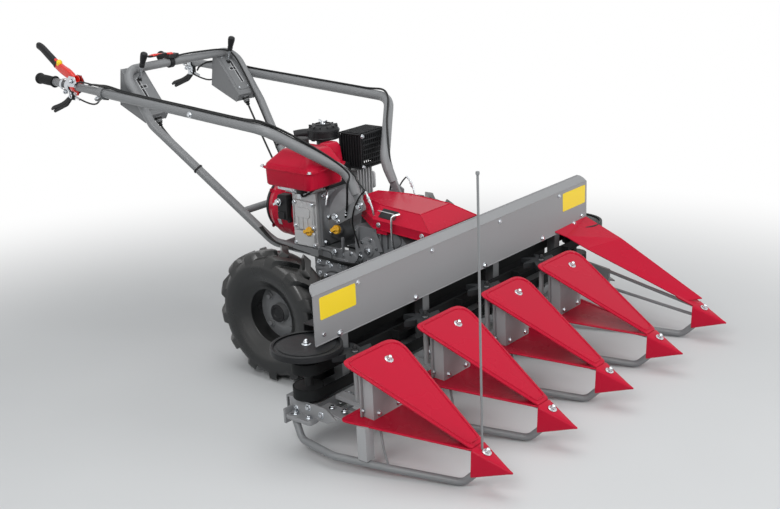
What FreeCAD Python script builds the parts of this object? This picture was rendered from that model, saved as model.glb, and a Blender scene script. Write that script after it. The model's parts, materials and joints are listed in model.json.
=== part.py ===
"""Walk-behind reaper: engine and gearbox on two driven wheels, a side-delivery header, and long handlebars.

X points forward, Y to the machine's left, Z up, in millimetres. The driving sizes are measured from the wheel axle
(x = 0 there), and every piece's Placement then moves it so that the origin lies on the floor under the middle.
"""

import FreeCAD, Part
import math
import os
import re

import Sketcher
from FreeCAD import Placement, Rotation, Vector

SIZES = (
    # wheels and axle
    ("axle_height", 205, "axle above the floor, which is the tyre's outer radius"),
    ("wheel_centre", 360, "middle of a tyre from the machine's middle plane"),
    ("tyre_width", 122, "width of a tyre"),
    ("tread_width", 92, "flat width of the tread"),
    ("shoulder_drop", 15, "tread radius less shoulder radius"),
    ("bead_radius", 101, "inner radius of the tyre on its rim"),
    ("tyre_wall", 9, "thickness of a tyre's side wall"),
    ("rim_wall", 4, "rim barrel wall"),
    ("rim_width", 64, "width of the rim barrel"),
    ("disc_wall", 6, "wheel disc thickness"),
    ("disc_inset", 20, "wheel disc inboard of the tyre's middle"),
    ("hub_radius", 28, "outer radius of the wheel hub"),
    ("hub_outboard", 4, "hub length outside the disc"),
    ("hub_inboard", 74, "hub length inside the disc"),
    ("axle_radius", 16, "radius of a half shaft"),
    ("axle_recess", 12, "half shaft end behind the hub's outer face"),
    ("running_gap", 0.05, "radial clearance of a shaft that turns"),
    ("axle_tube_radius", 31, "outer radius of an axle tube"),
    ("axle_tube_reach", 268, "end of an axle tube from the middle plane"),
    ("axle_depth", 118, "inner end of a half shaft from the middle plane"),
    # gearbox, clutch bell and engine
    ("case_rear", 81, "rear face of the gearbox"),
    ("case_front", 309, "front face of the gearbox"),
    ("case_top", 428, "top of the gearbox"),
    ("case_half", 84, "half width of the gearbox"),
    ("crank_height", 427, "crankshaft above the floor"),
    ("bell_radius", 88, "radius of the clutch bell"),
    ("bell_neck", 50, "radius of the bell at the gearbox"),
    ("flange_front", -45, "front face of the engine flange"),
    ("flange_wall", 13, "thickness of the engine flange"),
    ("flange_half", 95, "half width of the engine flange"),
    ("block_rear", -161, "rear face of the crankcase"),
    ("block_half", 105, "half width of the crankcase"),
    ("block_low", 333, "underside of the crankcase"),
    ("block_top", 513, "top of the crankcase"),
    ("fan_length", 130, "length of the fan housing"),
    ("fan_radius", 102, "radius of the fan housing"),
    ("recoil_length", 30, "length of the recoil starter"),
    ("recoil_radius", 86, "radius of the recoil starter"),
    ("cylinder_reach", 205, "outer end of the cylinder head from the middle plane"),
    ("fin_wall", 4, "thickness of a cooling fin"),
    ("fin_pitch", 14, "spacing of the cooling fins"),
    ("tank_rear", -184, "rear face of the fuel tank"),
    ("tank_front", 16, "front face of the fuel tank"),
    ("tank_right", -203, "right face of the fuel tank"),
    ("tank_left", -44, "left face of the fuel tank"),
    ("tank_low", 549, "underside of the fuel tank"),
    ("tank_seam", 615, "seam between the tank's two shells"),
    ("tank_top", 662, "top of the fuel tank"),
    ("cap_radius", 24, "radius of the fuel cap"),
    ("cap_tall", 22, "height of the fuel cap"),
    ("carburettor_top", 581, "top of the carburettor housing"),
    ("cleaner_radius", 52, "radius of the air cleaner"),
    ("cleaner_top", 698, "top of the air cleaner"),
    ("cowl_top", 660, "top of the red engine cowl"),
    ("silencer_rear", -98, "rear face of the silencer guard"),
    ("silencer_front", -18, "front face of the silencer guard"),
    ("silencer_right", 75, "right face of the silencer guard"),
    ("silencer_left", 180, "left face of the silencer guard"),
    ("silencer_low", 563, "underside of the silencer guard"),
    ("silencer_top", 672, "top of the silencer guard"),
    ("guard_wall", 2.5, "wall of the silencer guard"),
    # hood over the gearbox
    ("hood_rear", 84, "rear edge of the hood"),
    ("hood_front", 410, "front edge of the hood"),
    ("hood_crest", 339, "front edge of the hood's flat top"),
    ("hood_half", 117, "half width of the hood at its sides"),
    ("hood_top_half", 73, "half width of the hood's flat top"),
    ("hood_low", 440, "lower edge of the hood"),
    ("hood_shoulder", 469, "where the hood's sides turn inwards"),
    ("hood_top", 503, "top of the hood"),
    ("hood_wall", 2.5, "hood sheet thickness"),
    ("hood_rake", 3.3, "fall of the hood towards its front, in degrees"),
    # handlebars
    ("bar_radius", 18.5, "outer radius of a handlebar tube"),
    ("bar_wall", 3, "wall of a handlebar tube"),
    ("bar_bend", 90, "bend radius of a handlebar tube"),
    ("foot_reach", 120, "handlebar foot bolt from the axle"),
    ("foot_height", 497, "handlebar foot bolt above the floor"),
    ("foot_half", 90, "handlebar foot from the middle plane"),
    ("knee_reach", 70, "lower bend from the axle"),
    ("knee_height", 597, "lower bend above the floor"),
    ("elbow_reach", -70, "upper bend from the axle"),
    ("elbow_height", 754, "upper bend above the floor"),
    ("handle_half", 295, "handlebar from the middle plane"),
    ("grip_half", 278, "grip end from the middle plane"),
    ("collar_reach", -839, "clamping collar from the axle"),
    ("grip_front", -1119, "front end of a grip"),
    ("grip_reach", -1216, "rear end of a grip, the rearmost point"),
    ("grip_height", 823, "grip end above the floor"),
    ("stem_gap", 1.5, "clearance of the sliding handle tube in the handlebar"),
    ("stem_radius", "=bar_radius - bar_wall - stem_gap", "outer radius of the sliding handle tube"),
    ("stem_wall", 2, "wall of the sliding handle tube"),
    ("stem_inside", 110, "length of the sliding tube inside the handlebar"),
    ("grip_radius", 17, "outer radius of a grip"),
    ("strap_wall", 5, "thickness of a handlebar bracket"),
    # rear frame, consoles and levers
    ("loop_radius", 14.5, "outer radius of the rear frame tube"),
    ("loop_wall", 2.5, "wall of the rear frame tube"),
    ("loop_bar_reach", -767, "cross bar of the rear frame from the axle"),
    ("loop_bar_height", 877, "cross bar above the floor"),
    ("loop_half", 252, "upper frame legs from the middle plane"),
    ("loop_kink_reach", -644, "bend in a frame leg from the axle"),
    ("loop_kink_height", 704, "bend in a frame leg above the floor"),
    ("loop_foot_reach", -267, "lower bend of a frame leg from the axle"),
    ("loop_foot_half", 98, "lower bend from the middle plane"),
    ("rail_height", 298, "engine rails above the floor"),
    ("loop_foot_height", 319, "lower bend of a frame leg above the floor"),
    ("rail_half", 66, "front end of an engine rail from the middle plane"),
    ("cable_radius", 3.5, "radius of a sleeved control cable"),
    ("console_inner", 165, "inner side of a lever console from the middle plane"),
    # header
    ("panel_face", 462, "front face of the header panel"),
    ("panel_low", 309, "lower edge of the header panel"),
    ("panel_fold", 448, "where the panel folds back"),
    ("panel_top", 470, "top of the header panel"),
    ("panel_half", 682, "half length of the header panel"),
    ("sheet_wall", 3, "thickness of the header sheets"),
    ("beam_rear", 345, "rear face of the lower beam"),
    ("beam_front", 458, "front face of the lower beam"),
    ("beam_low", 108, "underside of the lower beam"),
    ("beam_top", 146, "top of the lower beam"),
    ("beam_half", 688, "half length of the lower beam"),
    ("rail_low", 316, "underside of the upper beam"),
    ("rail_top", 351, "top of the upper beam"),
    ("belt_centre", 418, "middle line of the conveyor from the axle"),
    ("belt_half", 672, "conveyor pulley from the middle plane"),
    ("pulley_radius", 40, "radius of a conveyor pulley"),
    ("belt_wall", 4, "thickness of a conveyor belt"),
    ("belt_tall", 31, "height of a conveyor belt"),
    ("lower_belt", 157, "underside of the lower conveyor belt"),
    ("upper_belt", 229, "underside of the upper conveyor belt"),
    ("lug_reach", 26, "height of a conveyor lug off its belt"),
    ("lug_pitch", 150, "spacing of the conveyor lugs"),
    ("lug_wall", 4, "thickness of a conveyor lug"),
    ("shaft_radius", 11, "radius of a conveyor shaft"),
    ("dish_radius", 97, "radius of a pulley cover"),
    ("dish_low", 288, "rim of a pulley cover"),
    ("dish_top", 304, "top of a pulley cover"),
    # dividers
    ("tip_reach", 1018, "divider tip from the axle, the foremost point"),
    ("divider_pitch", 300, "spacing of the dividers"),
    ("tip_height", 76, "divider tip above the floor"),
    ("nose_rear", 915, "rear face of a divider nose"),
    ("nose_half", 36, "half width of a divider nose"),
    ("nose_low", 48, "underside of a divider nose"),
    ("nose_top", 122, "top of a divider nose"),
    ("cover_bolt", 640, "rear bolt of a divider cover from the axle"),
    ("cover_bolt_height", 275, "divider cover's top at that bolt"),
    ("cover_pitch", 28.4, "slope of a divider cover in degrees"),
    ("cover_back", 70, "cover length behind its bolt"),
    ("cover_front", 313, "cover length in front of its bolt"),
    ("cover_right", 118, "cover width to the right at its rear edge"),
    ("cover_left", 108, "cover width to the left at its rear edge"),
    ("cover_nose", 26, "half width of a cover at the nose"),
    ("arm_half", 15, "half width of a divider arm"),
    ("arm_low", 107, "underside of a divider arm"),
    ("arm_top", 119, "top of a divider arm"),
    ("arm_rake", 3.5, "fall of a divider arm towards its nose, in degrees"),
    ("upright_front", 632, "front face of a divider upright"),
    ("upright_depth", 35, "depth of a divider upright"),
    ("upright_half", 61, "half width of a divider upright"),
    ("skid_radius", 10, "radius of a skid tube"),
    ("star_reach", 524, "star wheel axis from the axle"),
    ("star_radius", 68, "radius of a star wheel"),
    ("star_low", 265, "underside of a star wheel"),
    ("star_tall", 18, "height of a star wheel"),
    ("star_shaft", 7.5, "radius of a star wheel's shaft"),
    ("moving_gap", 0.3, "clearance under a piece that slides or turns"),
    ("marker_tall", 821, "top of the marker rod above the floor"),
    # cutter
    ("cutter_low", 112, "underside of the cutter bar"),
    ("cutter_top", 120, "top of the cutter bar"),
    ("cutter_front", 497, "front edge of the cutter bar"),
    ("guard_pitch", 76.2, "spacing of the cutter fingers"),
    ("guard_reach", 547, "tip of a cutter finger from the axle"),
    ("knife_half", 628, "half length of the knife"),
    ("knife_wall", 5, "thickness of the knife"),
)
DIVIDERS = (-2, -1, 0, 1, 2)
RIGHT, LEFT = -1, 1

doc = FreeCAD.newDocument("walk_behind_reaper")
sheet = doc.addObject("Spreadsheet::Sheet", "Sizes")
for row, (alias, value, meaning) in enumerate(SIZES, start=1):
    sheet.set(f"A{row}", meaning)
    sheet.set(f"B{row}", str(value))
    sheet.setAlias(f"B{row}", alias)
doc.recompute()

PIECES = []


def size(alias):
    """One driving dimension as a number."""
    return float(sheet.get(alias))


def formula(text):
    """A formula of the sheet: every word in the text becomes a cell."""
    return re.sub(r"[a-z]\w+", lambda word: "Sizes." + word.group(), str(text))


def bind(item, prop, text):
    item.setExpression(prop, formula(text))


def keep(item, label):
    """Names a finished piece, and moves it so that the origin is under the middle of the machine."""
    item.Label = label
    bind(item, "Placement.Base.x", "-(tip_reach + grip_reach) / 2")
    PIECES.append(item)
    return item


def place(item, x, y, z):
    for axis, text in zip("xyz", (x, y, z)):
        bind(item, f"Placement.Base.{axis}", text)


def box(x, y, z):
    """Block between two limits on each axis, each limit a formula of the sheet."""
    item = doc.addObject("Part::Box", "Block")
    for prop, (low, high) in zip(("Length", "Width", "Height"), (x, y, z)):
        bind(item, prop, f"({high}) - ({low})")
    place(item, x[0], y[0], z[0])
    return item


def rod(axis, start, end, centre, radius):
    """Cylinder along one axis between two limits; centre gives its other two coordinates in order."""
    item = doc.addObject("Part::Cylinder", "Round")
    bind(item, "Radius", radius)
    bind(item, "Height", f"({end}) - ({start})")
    turn = {"x": Rotation(Vector(0, 1, 0), 90), "y": Rotation(Vector(1, 0, 0), -90), "z": Rotation()}[axis]
    item.Placement = Placement(Vector(), turn)
    where = list(centre)
    where.insert("xyz".index(axis), start)
    place(item, *where)
    return item


def taper(low_x, low_y, high_x, high_y, z):
    """Block whose upper rectangle differs from its lower one."""
    item = doc.addObject("Part::Wedge", "Taper")
    item.Placement = Placement(Vector(), Rotation(Vector(1, 0, 0), 90))
    limits = dict(
        Xmin=low_x[0], Xmax=low_x[1], X2min=high_x[0], X2max=high_x[1], Ymin=z[0], Ymax=z[1],
        Zmin=f"-({low_y[1]})", Zmax=f"-({low_y[0]})", Z2min=f"-({high_y[1]})", Z2max=f"-({high_y[0]})",
    )
    for prop, text in limits.items():
        bind(item, prop, text)
    return item


def fuse(*items):
    if len(items) == 1:
        return group(*items)
    item = doc.addObject("Part::MultiFuse", "Joined")
    item.Shapes = list(items)
    return item


def cut(base, *tools):
    item = doc.addObject("Part::Cut", "Cut")
    item.Base = base
    item.Tool = tools[0] if len(tools) == 1 else fuse(*tools)
    return item


def group(*items):
    """Like pieces that share a node, as solids that don't touch."""
    item = doc.addObject("Part::Compound", "Group")
    item.Links = list(items)
    return item


def solid(name, shape):
    """A piece whose shape comes from Part's own functions, because it is bent in space."""
    item = doc.addObject("Part::Feature", name)
    item.Shape = shape
    return item


def body(name):
    item = doc.addObject("PartDesign::Body", name)
    item.AllowCompound = True
    return item


def origin_part(owner, role):
    return next(part for part in owner.Origin.OriginFeatures if part.Role == role)


def sketch(owner, plane, corners, offset=0):
    """Closed outline on one of the body's origin planes, each corner held by two bound distances."""
    item = owner.newObject("Sketcher::SketchObject", "Outline")
    item.AttachmentSupport = [(origin_part(owner, plane), "")]
    item.MapMode = "FlatFace"
    bind(item, "AttachmentOffset.Base.z", offset)
    count = len(corners)
    turns = [2 * math.pi * edge / count for edge in range(count)]
    points = [Vector(100 * math.cos(turn), 100 * math.sin(turn), 0) for turn in turns]
    for start, end in zip(points, points[1:] + points[:1]):
        item.addGeometry(Part.LineSegment(start, end))
    for edge in range(count):
        item.addConstraint(Sketcher.Constraint("Coincident", edge, 2, (edge + 1) % count, 1))
    for edge, pair in enumerate(corners):
        for kind, text in zip(("DistanceX", "DistanceY"), pair):
            index = item.addConstraint(Sketcher.Constraint(kind, -1, 1, edge, 1, 1.0))
            bind(item, f"Constraints[{index}]", text)
    return item


def pad(owner, outline, length, both_ways=True):
    item = owner.newObject("PartDesign::Pad", "Pad")
    item.Profile = outline
    item.SideType = "Symmetric" if both_ways else "One side"
    bind(item, "Length", length)
    return item


def pocket(owner, outline, length):
    item = owner.newObject("PartDesign::Pocket", "Pocket")
    item.Profile = outline
    item.SideType = "Symmetric"
    bind(item, "Length", length)
    return item


def turned(name, plane, axis, corners):
    """Body made by turning an outline about one of its origin axes."""
    owner = body(name)
    item = owner.newObject("PartDesign::Revolution", "Turn")
    item.Profile = sketch(owner, plane, corners)
    item.ReferenceAxis = (origin_part(owner, axis), [""])
    item.Angle = 360
    return owner


def folded(name, plane, corners, width, both_ways=True):
    """Body made by carrying one outline straight across the machine."""
    owner = body(name)
    pad(owner, sketch(owner, plane, corners), width, both_ways)
    return owner


def round_edges(owner, radius, chosen):
    """Fillet on the edges of the body for which chosen(start, end) holds."""
    doc.recompute()
    feature = owner.Tip
    names = []
    for index, edge in enumerate(feature.Shape.Edges, start=1):
        ends = [vertex.Point for vertex in edge.Vertexes]
        if len(ends) == 2 and chosen(*ends):
            names.append(f"Edge{index}")
    item = owner.newObject("PartDesign::Fillet", "Rounding")
    item.Base = (feature, names)
    bind(item, "Radius", radius)
    return item


def tube_path(points, bend=None):
    """Straight runs through the points, joined by arcs of one bend radius, or else by arcs as large as the runs allow."""
    edges = []
    start = points[0]
    for before, corner, after in zip(points, points[1:], points[2:]):
        back = (before - corner).normalize()
        ahead = (after - corner).normalize()
        half = back.getAngle(ahead) / 2
        reach = bend / math.tan(half) if bend else 0.45 * min((before - corner).Length, (after - corner).Length)
        first = corner + back * reach
        last = corner + ahead * reach
        arc = reach * math.tan(half)
        middle = corner + (back + ahead).normalize() * (arc / math.sin(half) - arc)
        edges.append(Part.LineSegment(start, first).toShape())
        edges.append(Part.Arc(first, middle, last).toShape())
        start = last
    edges.append(Part.LineSegment(start, points[-1]).toShape())
    return Part.Wire(edges)


def bar_along(points, bend, radius):
    """Round bar along a bent path."""
    path = tube_path(points, bend)
    ring = Part.Wire(Part.Circle(points[0], points[1] - points[0], radius).toShape())
    return path.makePipeShell([ring], True, False)


def tube_along(points, bend, radius, wall):
    return bar_along(points, bend, radius).cut(bar_along(points, bend, radius - wall))


def across(side, x, y, z):
    """Point on the right (side -1) or left (side 1) of the middle plane."""
    return Vector(x, side * y, z)


# ---------------------------------------------------------------- wheels

def make_wheel(side, word):
    """Tyre of one side, and its wheel with the half shaft keyed in the hub."""
    outside = [
        ("tread_width / 2", "axle_height"),
        ("tyre_width / 2", "axle_height - shoulder_drop"),
        ("tyre_width / 2", "axle_height - 3 * shoulder_drop"),
        ("rim_width / 2 + 8", "bead_radius + 10"),
        ("rim_width / 2", "bead_radius"),
    ]
    inside = [
        ("rim_width / 2 - tyre_wall", "bead_radius"),
        ("rim_width / 2 + 4 - tyre_wall", "bead_radius + 14"),
        ("tyre_width / 2 - tyre_wall", "axle_height - 3 * shoulder_drop"),
        ("tyre_width / 2 - tyre_wall", "axle_height - shoulder_drop - 8"),
        ("tread_width / 2 - 8", "axle_height - 1.6 * tyre_wall"),
    ]
    outline = outside + inside
    outline += [(f"-({across})", up) for across, up in reversed(inside)]
    outline += [(f"-({across})", up) for across, up in reversed(outside)]
    tyre = turned(f"tyre_{word}", "YZ_Plane", "Y_Axis", outline)
    out, inn = f"{side} * hub_outboard", f"{-side} * hub_inboard"
    wheel = turned("disc_and_hub", "YZ_Plane", "Y_Axis", (
        (out, "axle_radius"),
        (out, "hub_radius"),
        (f"{side} * (disc_wall / 2 - disc_inset)", "hub_radius"),
        (f"{side} * (disc_wall / 2 - disc_inset)", "bead_radius - rim_wall"),
        (f"{side} * rim_width / 2", "bead_radius - rim_wall"),
        (f"{side} * rim_width / 2", "bead_radius"),
        (f"{-side} * rim_width / 2", "bead_radius"),
        (f"{-side} * rim_width / 2", "bead_radius - rim_wall"),
        (f"{-side} * (disc_wall / 2 + disc_inset)", "bead_radius - rim_wall"),
        (f"{-side} * (disc_wall / 2 + disc_inset)", "hub_radius"),
        (inn, "hub_radius"),
        (inn, "axle_radius"),
    ))
    for item in (tyre, wheel):
        place(item, 0, f"{side} * wheel_centre", "axle_height")
    keep(tyre, tyre.Label)
    ends = ["axle_depth", "wheel_centre + hub_outboard - axle_recess"][::side]
    shaft = rod("y", f"{side} * ({ends[0]})", f"{side} * ({ends[1]})", ("0", "axle_height"), "axle_radius")
    keep(fuse(wheel, shaft), f"wheel_{word}")


# ---------------------------------------------------------------- gearbox and engine

def make_gearbox():
    case = folded("case", "XZ_Plane", (
        ("-50", "axle_height + 40"),
        ("case_rear - 12", "axle_height + 56"),
        ("case_rear", "axle_height + 70"),
        ("case_rear", "case_top"),
        ("case_front - 50", "case_top"),
        ("case_front", "case_top - 50"),
        ("case_front", "axle_height + 80"),
        ("130", "axle_height - 52"),
        ("-30", "axle_height - 52"),
        ("-50", "axle_height - 30"),
    ), "2 * case_half")
    round_edges(case, "12", lambda a, b: abs(a.y - b.y) > 100 and a.z > size("case_top") - 60)
    tube = rod("y", "-axle_tube_reach", "axle_tube_reach", ("0", "axle_height"), "axle_tube_radius")
    collars = [
        rod("y", f"({side}) * (case_half + 9) - 9", f"({side}) * (case_half + 9) + 9", ("0", "axle_height"), "50")
        for side in (RIGHT, LEFT)
    ]
    bores = [
        rod("y", start, end, ("0", "axle_height"), "axle_radius + running_gap")
        for start, end in (("-axle_tube_reach - 1", "-axle_depth + 1"), ("axle_depth - 1", "axle_tube_reach + 1"))
    ]
    nozzle = box(("case_front - 1", "beam_rear - sheet_wall"), ("-60", "60"), ("290", "rail_top"))
    keep(cut(fuse(case, tube, nozzle, *collars), *bores), "gearbox")


def make_bell():
    bell = turned("bell", "XZ_Plane", "X_Axis", (
        ("flange_front", "0"),
        ("flange_front", "bell_radius"),
        ("flange_front + 24", "bell_radius"),
        ("flange_front + 60", "bell_radius - 24"),
        ("flange_front + 78", "bell_neck"),
        ("case_rear", "bell_neck"),
        ("case_rear", "0"),
    ))
    place(bell, 0, 0, "crank_height")
    flange = box(("flange_front - flange_wall", "flange_front"), ("-flange_half", "flange_half"),
                 ("crank_height - 88", "crank_height + 88"))
    ears = rod("y", "-foot_half - 5", "foot_half + 5", ("17", "448"), "12")
    keep(fuse(bell, flange, ears), "clutch_bell")


def tank_form(inset):
    """The tank's upright lower half and the upper half whose faces lean in, both drawn in by one inset."""
    low, high = f"tank_rear + {inset}", f"tank_front - {inset}"
    right, left = f"tank_right + {inset}", f"tank_left - {inset}"
    lower = box((low, high), (right, left), (f"tank_low + {inset}", "tank_seam"))
    upper = taper((low, high), (right, left), ("tank_rear + 38", "tank_front - 36"), ("tank_right + 43", left),
                  ("tank_seam", f"tank_top - {inset}"))
    return fuse(lower, upper)


def make_engine():
    block_front = "flange_front - flange_wall"
    block = box(("block_rear", block_front), ("-block_half", "block_half"), ("block_low", "block_top"))
    bracket = box(("block_rear + 10", f"{block_front} - 20"), ("-block_half + 10", "tank_left - 4"),
                  ("block_top - 1", "tank_low"))
    keep(fuse(block, bracket), "crankcase")
    fan = turned("fan_housing", "XZ_Plane", "X_Axis", (
        ("block_rear", "0"),
        ("block_rear", "fan_radius"),
        ("block_rear - fan_length + 28", "fan_radius"),
        ("block_rear - fan_length", "fan_radius - 14"),
        ("block_rear - fan_length", "recoil_radius - 30"),
        ("block_rear - fan_length + 4", "recoil_radius - 30"),
        ("block_rear - fan_length + 4", "fan_radius - 18"),
        ("block_rear - fan_length + 29", "fan_radius - 4"),
        ("block_rear - 4", "fan_radius - 4"),
        ("block_rear - 4", "0"),
    ))
    recoil = turned("recoil_starter", "XZ_Plane", "X_Axis", (
        ("block_rear - fan_length", "0"),
        ("block_rear - fan_length", "recoil_radius"),
        ("block_rear - fan_length - recoil_length + 12", "recoil_radius - 4"),
        ("block_rear - fan_length - recoil_length", "recoil_radius - 24"),
        ("block_rear - fan_length - recoil_length", "0"),
    ))
    for item in (fan, recoil):
        place(item, 0, 0, "crank_height")
        keep(item, item.Label)
    core = box(("block_rear + 24", f"{block_front} - 28"), ("block_half", "cylinder_reach"), ("446", "528"))
    fins = [
        box(("block_rear + 10", f"{block_front} - 14"),
            (f"block_half + 12 + {index} * fin_pitch", f"block_half + 12 + {index} * fin_pitch + fin_wall"),
            ("434", "540"))
        for index in range(6)
    ]
    keep(fuse(core, *fins), "cylinder_head")
    keep(cut(tank_form("0"), tank_form("sheet_wall")), "fuel_tank")
    keep(fuse(rod("z", "tank_top", "tank_top + cap_tall", ("-127", "-82"), "cap_radius")), "fuel_cap")
    keep(fuse(box(("block_rear", block_front), ("tank_left + 4", "silencer_right - 3"), ("block_top", "carburettor_top"))),
         "carburettor")
    keep(fuse(taper(("-106", "-47"), ("tank_left + 4", "28"), ("-99", "-56"), ("tank_left + 4", "22"),
                    ("carburettor_top", "cowl_top"))), "engine_cowl")
    neck = rod("z", "carburettor_top", "cleaner_top - 46", ("-146", "40"), "22")
    case = turned("case", "XZ_Plane", "Z_Axis", (
        ("0", "cleaner_top - 46"),
        ("cleaner_radius", "cleaner_top - 46"),
        ("cleaner_radius", "cleaner_top - 16"),
        ("cleaner_radius - 8", "cleaner_top - 5"),
        ("cleaner_radius - 24", "cleaner_top"),
        ("0", "cleaner_top"),
    ))
    place(case, "-161", "60", 0)
    keep(fuse(neck, case), "air_cleaner")


def make_silencer():
    """Slotted guard box, open below, over a round silencer whose pipe stands on the cylinder head."""
    outer = box(("silencer_rear", "silencer_front"), ("silencer_right", "silencer_left"),
                ("silencer_low", "silencer_top"))
    inner = box(("silencer_rear + guard_wall", "silencer_front - guard_wall"),
                ("silencer_right + guard_wall", "silencer_left - guard_wall"),
                ("silencer_low - 1", "silencer_top - guard_wall"))
    slots = [
        box(("silencer_front - 20", "silencer_front + 1"), ("silencer_right + 12", "silencer_left - 12"),
            (f"silencer_low + 14 + {row} * 16", f"silencer_low + 22 + {row} * 16"))
        for row in range(6)
    ]
    guard = cut(outer, inner, *slots)
    drum = rod("y", "silencer_right + 1", "silencer_left - 1", ("(silencer_rear + silencer_front) / 2", "617"), "36")
    pipe = rod("z", "540", "604", ("-97", "150"), "12")
    elbow = rod("x", "-97", "-58", ("150", "604"), "12")
    keep(fuse(guard, drum, pipe, elbow), "silencer")


def make_hood():
    """Hollow sheet cover over the gearbox: upright sides, then faces that lean in to a flat top."""
    def outline(inset):
        side = (
            ("hood_rear + {0}", "46 - 0.5 * {0}"),
            ("191 + 0.5 * {0}", "hood_half - {0}"),
            ("hood_front - {0}", "hood_half - {0}"),
        )
        top = (
            ("hood_rear + {0}", "34 - 0.5 * {0}"),
            ("186 + 0.5 * {0}", "hood_top_half - {0}"),
            ("hood_crest - {0}", "hood_top_half - {0}"),
        )
        return [
            [(x.format(inset), y.format(inset)) for x, y in half]
            + [(x.format(inset), f"-({y.format(inset)})") for x, y in reversed(half)]
            for half in (side, top)
        ]

    def form(name, inset, low):
        side, top = outline(inset)
        owner = body(name)
        skirt = sketch(owner, "XY_Plane", side, low)
        item = owner.newObject("PartDesign::Pad", "Pad")
        item.Profile = skirt
        bind(item, "Length", f"hood_shoulder - ({low})")
        item = owner.newObject("PartDesign::AdditiveLoft", "Loft")
        item.Profile = sketch(owner, "XY_Plane", side, "hood_shoulder")
        item.Sections = [sketch(owner, "XY_Plane", top, f"hood_top - {inset}")]
        item.Ruled = True
        return owner

    shell = cut(form("hood_outside", "0", "hood_low"), form("hood_inside", "hood_wall", "hood_low - 1"))
    shell.Placement = Placement(Vector(), Rotation(Vector(0, 1, 0), size("hood_rake")), Vector(240, 0, 490))
    strip = box(("200", "240"), ("-hood_half + 1", "hood_half - 1"), ("case_top", "hood_low + 8"))
    keep(fuse(shell, strip), "gearbox_hood")


# ---------------------------------------------------------------- handlebars

def on_handle(side, x):
    """Point on the middle line of the straight part of a handle, behind its elbow."""
    reach = size("elbow_reach") - size("grip_reach")
    back = size("elbow_reach") - x
    draw = (size("grip_half") - size("handle_half")) / reach
    rise = (size("grip_height") - size("elbow_height")) / reach
    return across(side, x, size("handle_half") + draw * back, size("elbow_height") + rise * back)


def make_handlebar(side, word):
    """Bent tube bolted to the gearbox bracket, a sliding tube in its end, the collar between them and the grip."""
    knee = across(side, size("knee_reach"), size("foot_half"), size("knee_height"))
    elbow = across(side, size("elbow_reach"), size("handle_half"), size("elbow_height"))
    bolt = across(side, size("foot_reach"), size("foot_half"), size("foot_height"))

    def on_bar(x):
        return on_handle(side, x)

    foot = bolt + (knee - bolt) * 0.38
    collar = on_bar(size("collar_reach"))
    tube = tube_along([foot, knee, elbow, collar], size("bar_bend"), size("bar_radius"), size("bar_wall"))
    down = (bolt - knee).normalize()
    wide = down.cross(Vector(0, 1, 0)) * 15
    thick = Vector(0, 10, 0)
    start = foot - down * 18 - Vector(0, 5, 0)
    end = bolt + down * 16 - Vector(0, 5, 0)
    tongue = Part.Face(Part.makePolygon([start - wide, start + wide, end + wide, end - wide, start - wide]))
    tongue = tongue.extrude(thick)
    keep(solid("handlebar", tube.fuse(tongue).removeSplitter()), f"handlebar_{word}")

    inside = on_bar(size("collar_reach") + size("stem_inside"))
    grip_end = on_bar(size("grip_reach"))
    grip_start = on_bar(size("grip_front"))
    axis = grip_end - inside
    stem = Part.makeCylinder(size("stem_radius"), axis.Length, inside, axis)
    bore = Part.makeCylinder(size("stem_radius") - size("stem_wall"), axis.Length, inside, axis)
    ring = Part.makeCylinder(size("bar_radius") + 3, 20, collar, axis)
    keep(solid("stem", stem.fuse(ring).cut(bore)), f"handle_stem_{word}")
    grip = Part.makeCylinder(size("grip_radius"), (grip_end - grip_start).Length, grip_start, axis)
    grip = grip.cut(Part.makeCylinder(size("stem_radius"), axis.Length, inside, axis))

    clamp = on_bar(-1018)
    band = Part.makeCylinder(size("stem_radius") + 6, 26, clamp, axis)
    post = Part.makeBox(18, 8, 30, clamp + Vector(-20, -4, -46))
    hook = bar_along([clamp + Vector(-11, 0, -38), clamp + Vector(-46, 0, -70), clamp + Vector(-124, 0, -100)], 34, 5.5)
    clutch = band.fuse([post, hook]).cut(Part.makeCylinder(size("stem_radius"), axis.Length, inside, axis))
    if side == RIGHT:
        clamp = on_bar(-990)
        band = Part.makeCylinder(size("stem_radius") + 6, 22, clamp, axis)
        profile = [(3, 14), (-6, 34), (-112, 90), (-187, 146), (-206, 142), (-196, 120), (-112, 60), (-20, 25)]
        corners = [clamp + Vector(x, -9, z) for x, z in profile]
        blade = Part.Face(Part.makePolygon(corners + corners[:1])).extrude(Vector(0, 18, 0))
        lever = band.fuse(blade).cut(Part.makeCylinder(size("stem_radius"), axis.Length, inside, axis))
        keep(solid("stop_lever", lever), "stop_lever")
    return grip, clutch


def make_handlebars():
    pairs = [make_handlebar(side, word) for side, word in ((RIGHT, "right"), (LEFT, "left"))]
    keep(solid("grips", Part.makeCompound([pair[0] for pair in pairs])), "grips")
    keep(solid("clutch_levers", Part.makeCompound([pair[1] for pair in pairs])), "clutch_levers")


def make_straps():
    """Two plates from the clutch bell's ears to the handlebar feet."""
    straps = []
    for side, word in ((RIGHT, "right"), (LEFT, "left")):
        strap = folded(f"strap_{word}", "XZ_Plane", (
            ("0", "448"),
            ("17", "430"),
            ("37", "430"),
            ("foot_reach + 18", "foot_height - 10"),
            ("foot_reach + 18", "foot_height + 14"),
            ("foot_reach - 2", "foot_height + 24"),
        ), "strap_wall")
        place(strap, 0, f"{side} * (foot_half + 5 + strap_wall / 2)", 0)
        straps.append(strap)
    keep(group(*straps), "handlebar_brackets")


# ---------------------------------------------------------------- rear frame and consoles

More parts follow.
